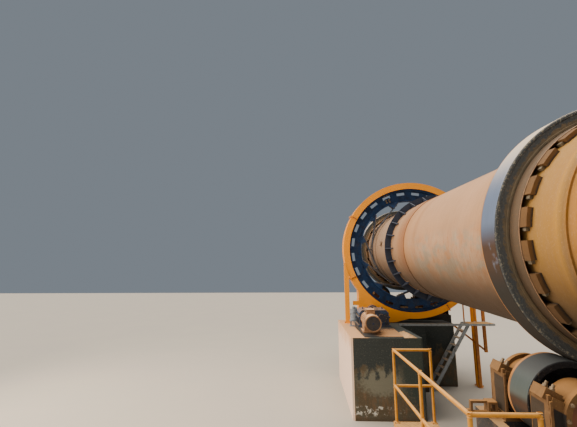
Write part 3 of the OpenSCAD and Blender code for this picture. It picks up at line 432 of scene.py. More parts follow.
def ochre_housing(centre=None, load=None):
    """Cast iron under old paint and ochre dust: matt, with oil runs, and painted shade in the hollows under
    the lugs and on the side walls below them.
    """
    material, tree, place = start("ochre_dust_on_cast_iron")
    stack = [
        (blots(tree, place, 190, 0.4, 0.6, 0.7), "#6E5230"),
        (blots(tree, place, 90, 0.5, 0.64, 0.6, (0.8, 0.8, 2.5), 4.0), "#553B24"),
        (settled(tree, 0.3, 0.8), "#946A38"),
        (blots(tree, place, 24, 0.56, 0.7, 0.3, seed=9.0), "#A87C48")]
    if centre is not None:
        vector, along, radius = square_to(tree, place, centre)
        rise = add(tree, "SeparateXYZ", {0: vector}).outputs[2]
        offset = add(tree, "VectorMath", {0: place, 1: centre}, operation="SUBTRACT").outputs[0]
        below = add(tree, "VectorMath", {0: offset, 1: load}, operation="DOT_PRODUCT").outputs["Value"]
        # Painted shade: near black in the hollows under the lugs.
        hollow = product(tree, between(tree, below, 0.078, 0.090), between(tree, radius, 0.286, 0.300),
                         between(tree, radius, 0.4085, 0.4065), between(tree, rise, -0.262, -0.250))
        stack.append((hollow, "#1C1A19"))
        normal = add(tree, "TexCoord").outputs["Normal"]
        sideways = add(tree, "SeparateXYZ", {0: normal}).outputs[0]
        side = add(tree, "Math", {0: sideways}, operation="ABSOLUTE").outputs[0]
        away = add(tree, "Math", {0: along}, operation="ABSOLUTE").outputs[0]
        # Painted shade: the side walls below the lugs darkened, except at their outer ends, as if they stood
        # back in a recess.
        wall = product(tree, between(tree, below, 0.078, 0.090), between(tree, side, 0.5, 0.8),
                       between(tree, rise, -0.262, -0.250), between(tree, away, 0.462, 0.450))
        stack.append((wall, "#32271A"))
    return surface(material, layers(tree, "#694B29", stack), 0.82, 0.0, grain(tree, place, 10), 1.0)


def cover_brown():
    """Red-brown primer on the end covers of the bearings, half matt."""
    return coating("red_brown_primer", "#6A3D24", [
        patch("#2E241E", 160, 0.42, 0.6, 0.85)], 0.6, 0.0, 12, 0.6)


def frame_paint():
    """Dark paint on welded frames: rust at its wear, ochre dust on what looks up."""
    return coating("worn_dark_frame_paint", "#2B2E31", [
        patch("#59402B", 150, 0.5, 0.66, 0.85),
        dust("#9E7C52"),
        patch("#8A6F4E", 30, 0.56, 0.7, 0.5, seed=9.0)], 0.8, 0.0, 9, 0.8)


def drive_base_paint():
    """Black bitumen paint on the drive's base, with tan dust where it lies open at the front."""
    material, tree, place = start("dusty_bitumen_paint")
    low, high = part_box("drive_base")
    front = Vector((high.x - 0.15, low.y + 0.3, high.z))
    colour = layers(tree, "#232527", [
        (blots(tree, place, 150, 0.5, 0.66, 0.6), "#4A3A2B"),
        (product(tree, settled(tree, 0.6, 0.95), stain(tree, place, front, (0.42, 0.6, 0.5))), "#B98A5C")])
    return surface(material, colour, 0.8, 0.0, grain(tree, place, 9), 0.8)


def reducer_paint():
    """Blue enamel on a cast housing, greyed by dust: soft gloss."""
    return coating("blue_machine_enamel", paint("reducer"), [
        patch("#2E2F36", 150, 0.4, 0.54, 0.9),
        dust("#8A7262", 0.4, 0.9, 0.9),
        patch("#57606F", 28, 0.56, 0.7, 0.4, seed=5.0)], 0.52, 0.0, 12, 0.5, 0.15)


def motor_paint():
    """Enamel on the motor under pinkish dust: matt."""
    return coating("dusty_motor_enamel", paint("motor"), [
        patch("#6B513C", 90, 0.45, 0.66, 0.65),
        dust("#C69C74")], 0.75, 0.0, 9, 0.5)


def grease_drum_enamel():
    """Grey enamel on pressed sheet: some gloss, with smears of grease."""
    return coating("grey_sheet_enamel", "#7E8894", [
        patch("#3A3B3F", 80, 0.5, 0.66, 0.8)], 0.45, 0.0, 30, 0.3, 0.2)


def guard_enamel():
    """Orange-yellow enamel on sheet steel: clean and half glossy, a little dusty and chipped at random."""
    return coating("orange_yellow_enamel", paint("guard"), [
        patch("#DC8A00", 500, 0.45, 0.7, 0.45),
        dust("#DFA75A", 0.5, 1.0, 0.12),
        patch("#7A4A22", 40, 0.66, 0.74, 0.7, seed=4.0)], 0.55, 0.0, 60, 0.4, 0.1)


def rail_enamel():
    """Yellow enamel on rails and decks, rubbed and dusty."""
    return coating("worn_yellow_enamel", paint("rails"), [
        patch("#A06C22", 90, 0.45, 0.66, 0.6),
        dust("#CBA066", most=0.6),
        patch("#6A4326", 22, 0.6, 0.7, 0.7, seed=2.0)], 0.6, 0.0, 8, 0.5)


def tread_plate():
    """Deck plate with raised tears about 40 mm apart, under ochre dust."""
    material, tree, place = start("dusty_tread_plate")
    spread = add(tree, "Mapping", {
        "Vector": place, "Rotation": (0, 0, math.radians(45)), "Scale": (1000 / 40, 1000 / 40, 1)})
    check = add(tree, "TexVoronoi", {"Vector": spread.outputs[0], "Scale": 1.0, "Randomness": 0.0},
                voronoi_dimensions="2D")
    tears = between(tree, check.outputs["Distance"], 0.36, 0.2)
    colour = layers(tree, "#B68A4E", [
        (blots(tree, place, 160, 0.42, 0.64, 0.8), "#8A6840"),
        (product(tree, tears, blots(tree, place, 240, 0.4, 0.6)), "#D6AE74")])
    return surface(material, colour, 0.78, 0.0, tears, 2.0)


def grey_walkway():
    """Grey paint on the deck's angles and the steps, with rust spots and dust."""
    material, tree, place = start("grey_walkway_paint")
    return surface(material, grey_coat(tree, place), 0.65, 0.0, grain(tree, place, 9), 0.4)


def grey_coat(tree, place):
    """Colour of the grey paint."""
    return layers(tree, paint("walkway"), [
        (blots(tree, place, 100, 0.5, 0.66, 0.7), "#5E5A54"),
        (settled(tree, most=0.8), "#B79A78")])


def walkway_paint():
    """Grey paint at the deck, and brown-orange primer with rust on its posts, rails and brace."""
    material, tree, place = start("primed_walkway_posts")
    height = add(tree, "SeparateXYZ", {0: place}).outputs[2]
    deck = product(tree, between(tree, height, PIER_TOP - 0.03, PIER_TOP - 0.02),
                   between(tree, height, PIER_TOP + 0.09, PIER_TOP + 0.08))
    primer = layers(tree, paint("posts"), [
        (blots(tree, place, 120, 0.45, 0.62, 0.7), "#85542A"),
        (blots(tree, place, 22, 0.58, 0.7, 0.5, seed=3.0), "#4E3220")])
    return surface(material, layers(tree, primer, [(deck, grey_coat(tree, place))]), 0.7, 0.0,
                   grain(tree, place, 9), 0.4)


def cast_concrete():
    """Cast concrete: dark above a ragged edge, grime and splashes below, and painted light on the side that
    faces -X, pale pinkish and orange-tan higher up.
    """
    material, tree, place = start("stained_cast_concrete")
    parts = add(tree, "SeparateXYZ", {0: place})
    across, height = parts.outputs[0], parts.outputs[2]
    normal = add(tree, "TexCoord").outputs["Normal"]
    left = add(tree, "SeparateXYZ", {0: normal}).outputs[0]
    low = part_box("drive_pier")[0]
    ragged = add(tree, "Math", {
        0: height, 1: blots(tree, place, 210, 0.3, 0.7, 0.5, (1, 1, 1.6), 2.0)}, operation="ADD").outputs[0]
    front = Vector((low.x, low.y, 0))
    splash = product(tree, blots(tree, place, 75, 0.52, 0.6, 1.0, (1, 1, 1.3), 6.0),
                     stain(tree, place, front + Vector((0.5, 0, 0.22)), (0.6, 0.3, 0.10), 0.3, 80.0))
    colour = layers(tree, "#514634", [
        (blots(tree, place, 300, 0.42, 0.6, 0.85), "#4F4F44"),
        (blots(tree, place, 130, 0.5, 0.62, 0.6, (0.7, 0.7, 2), 4.0), "#6A523A"),
        (stain(tree, place, front + Vector((0.7, 0, 0.85)), (0.5, 0.4, 0.3)), "#6F6D5E"),
        (between(tree, ragged, 1.28, 1.42), "#2F3534"),
        (stain(tree, place, front + Vector((1.65, 0, 1.1)), (0.5, 0.5, 0.9), 0.3), "#333B36"),
        (between(tree, height, 0.12, 0.02, 0.8), "#4A3D2C"),
        (splash, "#C9C6BC"),
        # Painted light: the side that faces -X, towards the light from the aisle, pale pinkish, and
        # orange-tan higher up.
        (between(tree, left, -0.5, -0.9, 0.97), "#E9CDBA"),
        (product(tree, between(tree, left, -0.5, -0.9), between(tree, ragged, 1.6, 2.1, 0.7)), "#CB9A68"),
        (settled(tree, 0.6, 0.95), "#4A5150"),
        (product(tree, settled(tree, 0.6, 0.95), between(tree, across, -1.85, -2.0)), "#B98F66"),
        (blots(tree, place, 26, 0.58, 0.7, 0.35, seed=8.0), "#8F8775")])
    boards = add(tree, "TexWave", {
        "Vector": place, "Scale": 1 / 0.30, "Distortion": 0.3, "Detail": 1.0}, bands_direction="Z")
    relief = add(tree, "Math", {0: grain(tree, place, 30), 1: product(tree, boards.outputs[1], 0.35)},
                 operation="ADD").outputs[0]
    return surface(material, colour, 0.92, 0.0, relief, 3.0)


def loose_dust():
    """Dry raw dust that has fallen in heaps: pale tan, wholly matt."""
    return coating("spilled_raw_dust", "#D2A878", [
        patch("#B58A5C", 60, 0.45, 0.66, 0.6)], 1.0, 0.0, 12, 2.0)


def zinc_fastener():
    """Zinc-plated bolts, dulled by dust and grease."""
    material, tree, place = start("dull_zinc_bolt")
    colour = layers(tree, "#8B7A62", [(blots(tree, place, 25, 0.45, 0.65, 0.8), "#4C4236")])
    return surface(material, colour, 0.55, 0.4)


def weld_metal():
    """Weld beads: rippled every 8 mm or so, brown and a little bright."""
    return coating("rippled_weld_bead", "#9B7C60", [
        patch("#6C5340", 40, 0.45, 0.65, 0.8)], 0.6, 0.3, 8, 1.5)


FINISHES = {}


def finish(maker):
    """The material that a maker gives, made once."""
    if maker not in FINISHES:
        FINISHES[maker] = maker()
    return FINISHES[maker]


def cover(node, material):
    """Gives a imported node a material."""
    mesh = frame["nodes"][node].data
    for index in range(len(mesh.materials)):
        mesh.materials[index] = material


def dress(maker, *nodes):
    """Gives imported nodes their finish."""
    for node in nodes:
        cover(node, finish(maker))


# Meshes

def at_drum(s, x=0.0, drop=0.0):
    """Point at a distance along the drum, to its right and square below its axis."""
    return ORIGIN + AXIS * s + RIGHT * x + DOWN * drop


def spoke(angle):
    """Direction square to the drum's axis, at an angle from the right towards below."""
    return RIGHT * math.cos(angle) + DOWN * math.sin(angle)


def facing(point, outward, along):
    """Matrix at a point, with its Z outward and its X near a direction."""
    z = outward.normalized()
    x = (along - z * along.dot(z)).normalized()
    y = z.cross(x)
    return Matrix.Translation(point) @ Matrix((x, y, z)).transposed().to_4x4()


def block(bm, matrix, size):
    """Box that stands on its place, with its height along Z."""
    lifted = matrix @ Matrix.Translation((0, 0, size[2] / 2)) @ Matrix.Diagonal((*size, 1))
    bmesh.ops.create_cube(bm, size=1.0, matrix=lifted)


def disc(bm, matrix, radius, height, sides=24, top=None):
    """Round or many-sided boss that stands on its place, with another radius at its top if it tapers."""
    bmesh.ops.create_cone(bm, cap_ends=True, segments=sides, radius1=radius,
                          radius2=radius if top is None else top, depth=height,
                          matrix=matrix @ Matrix.Translation((0, 0, height / 2)))


def bolt(bm, matrix, flats):
    """Washer, hexagon head and thread end, in the proportions of a bolt so wide across flats."""
    washer, head = flats * 0.1, flats * 0.45
    disc(bm, matrix, flats * 0.68, washer, 14)
    disc(bm, matrix @ Matrix.Translation((0, 0, washer)), flats / math.sqrt(3), head, 6, flats * 0.53)
    disc(bm, matrix @ Matrix.Translation((0, 0, washer + head)), flats * 0.29, flats * 0.22, 8)


def bolts_at(bm, spots, outward, flats, along=AXIS):
    """A bolt at each point, all facing one way."""
    for spot in spots:
        bolt(bm, facing(spot, outward, along), flats)


def bolt_circle(bm, centre, outward, radius, count, flats):
    """Bolts evenly around an axis."""
    base = facing(centre, outward, RIGHT)
    for i in range(count):
        angle = 2 * math.pi * i / count
        bolt(bm, base @ Matrix.Translation((radius * math.cos(angle), radius * math.sin(angle), 0)), flats)


def revolve(bm, centre, axis, outline, steps):
    """Ring made by turning a closed outline of (radius, height) points about an axis."""
    base = facing(centre, axis, RIGHT)
    rings = []
    for i in range(steps):
        angle = 2 * math.pi * i / steps
        rings.append([bm.verts.new(base @ Vector((r * math.cos(angle), r * math.sin(angle), h)))
                      for r, h in outline])
    count = len(outline)
    for i in range(steps):
        near, far = rings[i], rings[(i + 1) % steps]
        for k in range(count):
            bm.faces.new((near[k], far[k], far[(k + 1) % count], near[(k + 1) % count]))


def round_section(radius, wire_r, points):
    """Outline of a round wire or rolled edge, for a ring of that radius."""
    angles = [2 * math.pi * k / points for k in range(points)]
    return [(radius + wire_r * math.cos(a), wire_r * math.sin(a)) for a in angles]


def bead_ring(bm, s, radius, width):
    """Weld bead around the drum."""
    half = width / 2
    revolve(bm, at_drum(s), AXIS, [
        (radius - 0.002, -half), (radius + 0.002, -half * 0.6), (radius + 0.0035, 0),
        (radius + 0.002, half * 0.6), (radius - 0.002, half)], 180)


def rod(bm, start_point, end_point, radius, sides=12):
    """Round bar between two points."""
    way = end_point - start_point
    side = RIGHT if abs(way.normalized().dot(RIGHT)) < 0.9 else UP
    disc(bm, facing(start_point, way, side), radius, way.length, sides)


def piece(name, bm, maker, body, bevel_mm=0.0):
    """Turns a mesh into a piece that rides on a body."""
    bmesh.ops.recalc_face_normals(bm, faces=bm.faces)
    mesh = bpy.data.meshes.new(name)
    bm.to_mesh(mesh)
    bm.free()
    mesh.materials.append(finish(maker))
    mesh.set_sharp_from_angle(angle=math.radians(35))
    for polygon in mesh.polygons:
        polygon.use_smooth = True
    thing = bpy.data.objects.new(name, mesh)
    bpy.context.scene.collection.objects.link(thing)
    if bevel_mm:
        bevel = thing.modifiers.new("edges", "BEVEL")
        bevel.width = bevel_mm * MM
        bevel.segments = 2
        bevel.limit_method = "ANGLE"
    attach(thing, body)


# Drum

class KILN_OT_shell(bpy.types.Operator):
    """Finish the shell, its weld seams, its end rings and the sampling port's bolts"""
    bl_idname = "kiln.shell"
    bl_label = "Shell"

    def execute(self, context):
        sizes = context.scene.kiln_sizes
        dress(rolled_plate, "shell")
        dress(rusty_plate, "near_end_ring", "far_end_ring")
        seams, bead_height, gap = bmesh.new(), 0.005, 0.02
        courses = [-1.85, 4.69, 6.35, 7.45, 11.25]
        for s in courses:
            bead_ring(seams, s, SHELL_R, sizes.weld_width)
        ends = [reach("shell")[0]] + courses + [reach("shell")[1]]
        for course, degrees in ((0, -10), (2, -10), (4, -10), (5, 87)):
            a, b = ends[course], ends[course + 1]
            outward = spoke(math.radians(degrees))
            place = facing(at_drum((a + b) / 2) + outward * (SHELL_R - 0.003), outward, AXIS)
            block(seams, place, (b - a - 2 * gap, sizes.weld_width, bead_height))
        piece("shell_weld_seams", seams, weld_metal, "drum", 1.0)
        port, port_rise, flange_below, bolt_r = bmesh.new(), 0.03, 0.008, 0.067
        found = [v.co for v in frame["nodes"]["shell"].data.vertices
                 if square_part(v.co - ORIGIN).length > SHELL_R + port_rise]
        middle = sum(found, Vector()) / len(found)
        outward = square_part(middle - ORIGIN).normalized()
        top = max((co - ORIGIN).dot(outward) for co in found)
        flange = middle + outward * (top - flange_below - (middle - ORIGIN).dot(outward))
        bolt_circle(port, flange, outward, bolt_r, 6, sizes.cover_bolt * 0.55)
        piece("sampling_port_bolts", port, zinc_fastener, "drum")
        return {"FINISHED"}


class KILN_OT_tyres(bpy.types.Operator):
    """Finish both tyres and their pads, with the pads' keeper blocks and welds"""
    bl_idname = "kiln.tyres"
    bl_label = "Tyres and pads"

    def execute(self, context):
        for station in STATIONS:
            node = station + "_tyre"
            s0, s1, _, tyre_r = reach(node)
            middle, half_width = (s0 + s1) / 2, (s1 - s0) / 2
            # The top colour is a painted highlight on the upper side of the tyre's tread.
            cover(node, rolled_tread(
                "rolled_tyre_tread_" + station, at_drum(middle), tyre_r, half_width,
                crust="#6E5F49", rim="#42484D", speck="#8A8676", body="#7A8CAC", top="#CFC0AA", seam=0.02))
            dress(greasy_pads, node + "_pads")
            p0, p1, _, sleeve_r = reach(node + "_pads")
            keepers, welds = bmesh.new(), bmesh.new()
            pad_count, first_pad = 24, math.radians(3.05)
            keeper_size, from_tail, sleeve_end = (0.06, 0.034, 0.036), 0.07, 0.165
            for side, tail in ((-1, p0), (1, p1)):
                for i in range(pad_count):
                    outward = spoke(first_pad + 2 * math.pi * i / pad_count)
                    spot = at_drum(tail - side * from_tail) + outward * (SHELL_R + 0.0005)
                    block(keepers, facing(spot, outward, AXIS * side), keeper_size)
                bead_ring(welds, middle + side * (half_width + sleeve_end), sleeve_r - 0.004, 0.012)
            piece(station + "_pad_keepers", keepers, greasy_keeper, "drum", 2.0)
            piece(station + "_sleeve_welds", welds, weld_metal, "drum")
        return {"FINISHED"}


class KILN_OT_gusset_ring(bpy.types.Operator):
    """Finish the stiffening ring and its welds"""
    bl_idname = "kiln.gusset_ring"
    bl_label = "Stiffening ring"

    def execute(self, context):
        dress(dark_ring_paint, "gusset_ring")
        s0, s1, r0, r1 = reach("gusset_ring")
        ring_s0 = reach("gusset_ring", beyond=r1 - 0.001)[0]
        welds = bmesh.new()
        fillet = [(r0 - 0.001, -0.008), (r0 + 0.012, 0), (r0 - 0.001, 0.008)]
        for s in (ring_s0 - 0.006, s1 + 0.006):
            revolve(welds, at_drum(s), AXIS, fillet, 120)
        gusset_count, weld_place = 24, 0.014
        weld_size = (ring_s0 - s0 - 0.02, 0.012, 0.008)
        for i in range(gusset_count):
            outward = spoke(2 * math.pi * i / gusset_count)
            tangent = AXIS.cross(outward)
            for side in (-1, 1):
                spot = at_drum((s0 + ring_s0) / 2) + outward * (r0 - 0.001) + tangent * side * weld_place
                block(welds, facing(spot, outward, AXIS), weld_size)
        piece("stiffening_ring_welds", welds, weld_metal, "drum", 2.0)
        return {"FINISHED"}


class KILN_OT_girth_gear(bpy.types.Operator):
    """Finish the girth gear, its spring plates and pinion, with their bolts and the gear's joint plates"""
    bl_idname = "kiln.girth_gear"
    bl_label = "Girth gear"

    def execute(self, context):
        sizes = context.scene.kiln_sizes
        dress(greased_gear, "girth_gear", "pinion")
        dress(spring_steel, "spring_plates")
        gear_s0, gear_s1 = reach("girth_gear")[:2]
        middle = (gear_s0 + gear_s1) / 2
        bolts, joint, plates = bmesh.new(), bmesh.new(), bmesh.new()
        spring_count, first_spring = 12, math.radians(-171)
        spring_back, spring_face, lug_r = 1.2178, 1.2443, 1.58
        tip = math.sqrt(lug_r ** 2 - spring_face ** 2)
        for i in range(spring_count):
            outward = spoke(first_spring + 2 * math.pi * i / spring_count)
            tangent = AXIS.cross(outward)
            lug_bolts = [at_drum(middle + along) + outward * spring_back + tangent * v
                         for along in (-0.07, 0.0, 0.07) for v in (tip - 0.09, tip - 0.19)]
            bolts_at(bolts, lug_bolts, -outward, sizes.cover_bolt)
            foot_bolts = [at_drum(middle + along) + outward * spring_face + tangent * v
                          for v in (-0.16, -0.06) for along in (-0.07, 0.07)]
            bolts_at(bolts, foot_bolts, outward, sizes.cover_bolt)
        half_web, joint_side, plate_r, plate_size = 0.025, 0.05, 1.735, (0.2, 0.16, 0.0008)
        for degrees in (68, 248):
            outward = spoke(math.radians(degrees))
            tangent = AXIS.cross(outward)
            for face in (-1, 1):
                web = at_drum(middle + face * half_web)
                spots = [web + outward * r + tangent * side * joint_side
                         for side in (-1, 1) for r in (1.70, 1.77, 1.93)]
                bolts_at(joint, spots, AXIS * face, sizes.frame_bolt, outward)
                block(plates, facing(web + outward * plate_r, AXIS * face, outward), plate_size)
        piece("spring_plate_bolts", bolts, zinc_fastener, "drum")
        piece("gear_joint_bolts", joint, zinc_fastener, "drum")
        piece("gear_joint_plates", plates, greased_gear, "drum")
        return {"FINISHED"}


# Support stations

class KILN_OT_rollers(bpy.types.Operator):
    """Finish the four rollers and their shafts, with their keeper rings"""
    bl_idname = "kiln.rollers"
    bl_label = "Support rollers"

    def execute(self, context):
        for name, centre in ROLLERS.items():
            node = name + "_roller"
            s0, s1, hole_r, roller_r = reach(node, centre)
            half_width = (s1 - s0) / 2
            # The top colour is painted shade on the upper side of the roller's tread, under the tyre.
            cover(node, rolled_tread(
                "rolled_roller_tread_" + name, centre, roller_r, half_width,
                crust="#14151C", rim="#101118", speck="#1E1F26", body="#586361", top="#3A3E42", seam=0.04))
            dress(turned_shaft, name + "_shaft")
            keeper, thick = bmesh.new(), 0.012
            inner_r, outer_r, bolt_r = hole_r + 0.004, hole_r + 0.04, hole_r + 0.022
            outline = [(inner_r, 0.0003), (outer_r, 0.0003), (outer_r, thick - 0.002),
                       (outer_r - 0.004, thick), (inner_r, thick)]
            for side in (-1, 1):
                face = centre + AXIS * side * half_width
                revolve(keeper, face, AXIS * side, outline, 48)
                bolt_circle(keeper, face + AXIS * side * thick, AXIS * side, bolt_r, 8, 0.018)
            piece(name + "_keeper_rings", keeper, turned_shaft, name + "_idler")
        return {"FINISHED"}


class KILN_OT_bearings(bpy.types.Operator):
    """Finish the roller bearings, with their studs, cover bolts, covers, eyes, foot bolts and side straps"""
    bl_idname = "kiln.bearings"
    bl_label = "Roller bearings"

    def execute(self, context):
        sizes = context.scene.kiln_sizes
        bearing_len, crown_r, eye_r, eye_wire = 0.36, 0.26, 0.018, 0.008
        lug_reach, lug_end, lug_rise = 0.386, 0.44, 0.05
        stud_at, stud_len, stud_r = 0.05, 0.055, 0.015
        foot_drop, foot_top, foot_reach, foot_at = 0.26, 0.2597, 0.348, 0.09
        strap_at, strap_gap, strap_width, strap_thick, least_strap = 0.1385, 0.045, 0.026, 0.0155, 0.05
        dished = [(0.243, 0.0), (0.243, 0.004), (0.19, 0.006), (0.06, 0.011), (0.001, 0.011), (0.001, 0.0)]
        for name, centre in ROLLERS.items():
            node = name + "_bearings"
            s0, s1 = reach(node, centre)[:2]
            end = (s1 - s0) / 2
            load = square_part(centre - ORIGIN).normalized()
            cover(node, ochre_housing(centre, load))
            across = AXIS.cross(load)
            bolts, covers, straps = bmesh.new(), bmesh.new(), bmesh.new()
            for side in (-1, 1):
                middle = centre + AXIS * side * (end - bearing_len / 2)
                face = centre + AXIS * side * end
                studs = [middle + across * lug * lug_reach + AXIS * along - load * lug_rise
                         for lug in (-1, 1) for along in (-stud_at, stud_at)]
                bolts_at(bolts, studs, -load, sizes.frame_bolt)
                for spot in studs:
                    rod(bolts, spot, spot - load * stud_len, stud_r)
                bolt_circle(bolts, face, AXIS * side, 0.272, 12, sizes.cover_bolt)
                revolve(covers, face - AXIS * side * 0.012, AXIS * side, dished, 48)
                crown = middle - load * crown_r
                revolve(bolts, crown - load * (eye_r + eye_wire), AXIS, round_section(eye_r, eye_wire, 8), 20)
                disc(bolts, facing(crown + load * 0.004, -load, AXIS), 0.02, 0.014, 16)
                for lug in (-1, 1):
                    feet = [middle + RIGHT * lug * foot_reach + AXIS * along + DOWN * foot_top
                            for along in (-foot_at, foot_at)]
                    bolts_at(bolts, feet, -DOWN, sizes.cover_bolt)
                    corner = across * lug * lug_end
                    top = corner.dot(DOWN) + strap_gap
                    if foot_drop - top > least_strap:
                        strap = middle + RIGHT * corner.dot(RIGHT) + DOWN * (top + foot_drop) / 2
                        for way in (-1, 1):
                            block(straps, facing(strap + AXIS * way * strap_at, AXIS * way, DOWN),
                                  (foot_drop - top, strap_width, strap_thick))
            piece(name + "_bearing_bolts", bolts, zinc_fastener, "plant")
            piece(name + "_bearing_covers", covers, cover_brown, "plant")
            piece(name + "_bearing_straps", straps, ochre_housing, "plant", 2.0)
        return {"FINISHED"}


class KILN_OT_base_frames(bpy.types.Operator):
    """Finish the base frames and jack screws, with their anchor bolts"""
    bl_idname = "kiln.base_frames"
    bl_label = "Base frames"

    def execute(self, context):
        sizes = context.scene.kiln_sizes
        dress(ochre_housing, "jack_screws")
        for station in STATIONS:
            node = station + "_base_frame"
            dress(frame_paint, node)
            low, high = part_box(node)
            anchors = bmesh.new()
            bays, plate, edge, pair = 8, 0.024, 0.036, 0.08
            pitch = (high.x - low.x - plate) / bays
            for i in range(bays):
                x = low.x + plate / 2 + (i + 0.5) * pitch
                for y in (low.y + edge, high.y - edge):
                    for offset in (-pair, pair):
                        spot = Vector((x + offset, y, low.z + plate))
                        bolt(anchors, Matrix.Translation(spot), sizes.frame_bolt * 0.8)
            piece(station + "_anchor_bolts", anchors, zinc_fastener, "plant")
        return {"FINISHED"}


# Drive

class KILN_OT_drive(bpy.types.Operator):
    """Finish the motor, reducer, pinion shaft and bearings, grease unit and their base"""
    bl_idname = "kiln.drive"
    bl_label = "Drive"

    def execute(self, context):
        sizes = context.scene.kiln_sizes
        dress(motor_paint, "motor")
        dress(reducer_paint, "reducer", "pinion_bearings")
        dress(turned_shaft, "pinion_shaft")
        dress(drive_base_paint, "drive_base")
        dress(grease_drum_enamel, "grease_unit")
        self.fit_motor(sizes)
        self.fit_reducer(sizes)
        self.fit_coupling(sizes)
        return {"FINISHED"}

    def motor_x(self):
        """Place of the motor's shaft across the kiln"""
        low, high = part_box("motor")
        return (low.x + high.x) / 2

    def fit_motor(self, sizes):
        """Fins, fan grille and screen, and the screws of the terminal box and the feet"""
        centre = at_drum(reach("motor")[0], self.motor_x(), PINION_DROP - 0.06)
        body_r, fan_l, body_end = 0.19, 0.17, 0.755
        lowest_fin, highest_fin = 0.1, -0.82
        fins, fin_middle = bmesh.new(), centre + AXIS * (fan_l + body_end) / 2
        for i in range(sizes.fin_count):
            outward = spoke(2 * math.pi * i / sizes.fin_count)
            if highest_fin <= outward.dot(DOWN) <= lowest_fin:
                place = facing(fin_middle + outward * (body_r - 0.002), outward, AXIS)
                block(fins, place, (body_end - fan_l - 0.004, 0.006, sizes.fin_height))
        piece("motor_fins", fins, motor_paint, "plant", 1.0)
        grille, wire_r, hub_r, screen_r = bmesh.new(), 0.003, 0.026, 0.17
        for r in (0.03, 0.06, 0.09, 0.12, 0.15):
            revolve(grille, centre + AXIS * 0.006, AXIS, round_section(r, wire_r, 6), 40)
        for i in range(8):
            hub, outward = centre + AXIS * 0.0075, spoke(math.pi * i / 4)
            rod(grille, hub + outward * (hub_r - 0.006), hub + outward * (screen_r + 0.006), wire_r, 8)
        disc(grille, facing(centre + AXIS * 0.011, -AXIS, RIGHT), hub_r, 0.008)
        piece("motor_fan_grille", grille, dark_ring_paint, "plant")
        screen = bmesh.new()
        disc(screen, facing(centre + AXIS * 0.0115, -AXIS, RIGHT), screen_r, 0.003, 48)
        piece("motor_fan_screen", screen, choked_screen, "plant")
        screws = bmesh.new()
        box_middle = centre + AXIS * (fan_l + 0.305)
        lid = box_middle - DOWN * (body_r + 0.102)
        corners = [lid + RIGHT * dx + AXIS * ds for dx in (-0.1, 0.1) for ds in (-0.11, 0.11)]
        bolts_at(screws, corners, -DOWN, 0.014)
        gland = box_middle - DOWN * (body_r + 0.045) - RIGHT * 0.105
        disc(screws, facing(gland, -RIGHT, AXIS), 0.024, 0.016, 6)
        disc(screws, facing(gland - RIGHT * 0.016, -RIGHT, AXIS), 0.017, 0.02, 16)
        foot_reach, foot_drop = 0.192, 0.23
        feet = [centre + RIGHT * side * foot_reach + AXIS * ds + DOWN * foot_drop
                for side in (-1, 1) for ds in (0.32, 0.66)]
        bolts_at(screws, feet, -DOWN, 0.024)
        piece("motor_bolts", screws, zinc_fastener, "plant")

    def fit_reducer(self, sizes):
        """Bolts on the split flange and the covers, and a sight glass"""
        motor_x, wall = self.motor_x(), 0.18
        x0, x1 = motor_x - wall, PINION.x + wall
        s0, s1 = reach("reducer")[:2]
        s0, s1 = s0 + 0.025, s1 - 0.035
        bolts = bmesh.new()
        split_drop, hatch_drop = PINION_DROP - 0.052, PINION_DROP - 0.239
        foot_drop = PINION_DROP + 0.1737
        first, last = s0 + 0.04, s1 - 0.04
        flange = [at_drum(first + (last - first) * i / 5, x, split_drop)
                  for i in range(6) for x in (x0 - 0.015, x1 + 0.015)]
        bolts_at(bolts, flange, -DOWN, sizes.cover_bolt * 0.75)
        small = sizes.cover_bolt * 0.6
        bolt_circle(bolts, at_drum(s0 - 0.022, PINION.x, PINION_DROP), -AXIS, 0.108, 8, small)
        bolt_circle(bolts, at_drum(s1 + 0.022, PINION.x, PINION_DROP), AXIS, 0.113, 8, small)
        bolt_circle(bolts, at_drum(s0 - 0.025, motor_x, PINION_DROP - 0.06), -AXIS, 0.09, 6, small)
        bolt_circle(bolts, at_drum(s1 + 0.02, motor_x, PINION_DROP - 0.06), AXIS, 0.09, 6, small)
        hatch = [at_drum((s0 + s1) / 2 + ds, (x0 + x1) / 2 + dx, hatch_drop)
                 for dx in (-0.12, 0.0, 0.12) for ds in (-0.1, 0.1)]
        bolts_at(bolts, hatch, -DOWN, 0.018)
        feet = [at_drum(s0 + ds, x, foot_drop)
                for x in (x0 - 0.022, x1 + 0.022) for ds in (0.04, 0.28, 0.52)]
        bolts_at(bolts, feet, -DOWN, sizes.cover_bolt)
        piece("reducer_bolts", bolts, zinc_fastener, "plant")
        glass = bmesh.new()
        eye = at_drum(s0 - 0.0003, x0 + (x1 - x0) * 0.36, PINION_DROP + 0.1)
        rim = [(0.02, 0), (0.034, 0), (0.034, 0.008), (0.028, 0.012), (0.02, 0.012)]
        revolve(glass, eye, -AXIS, rim, 24)
        disc(glass, facing(eye, -AXIS, RIGHT), 0.021, 0.007)
        piece("reducer_sight_glass", glass, turned_shaft, "plant")

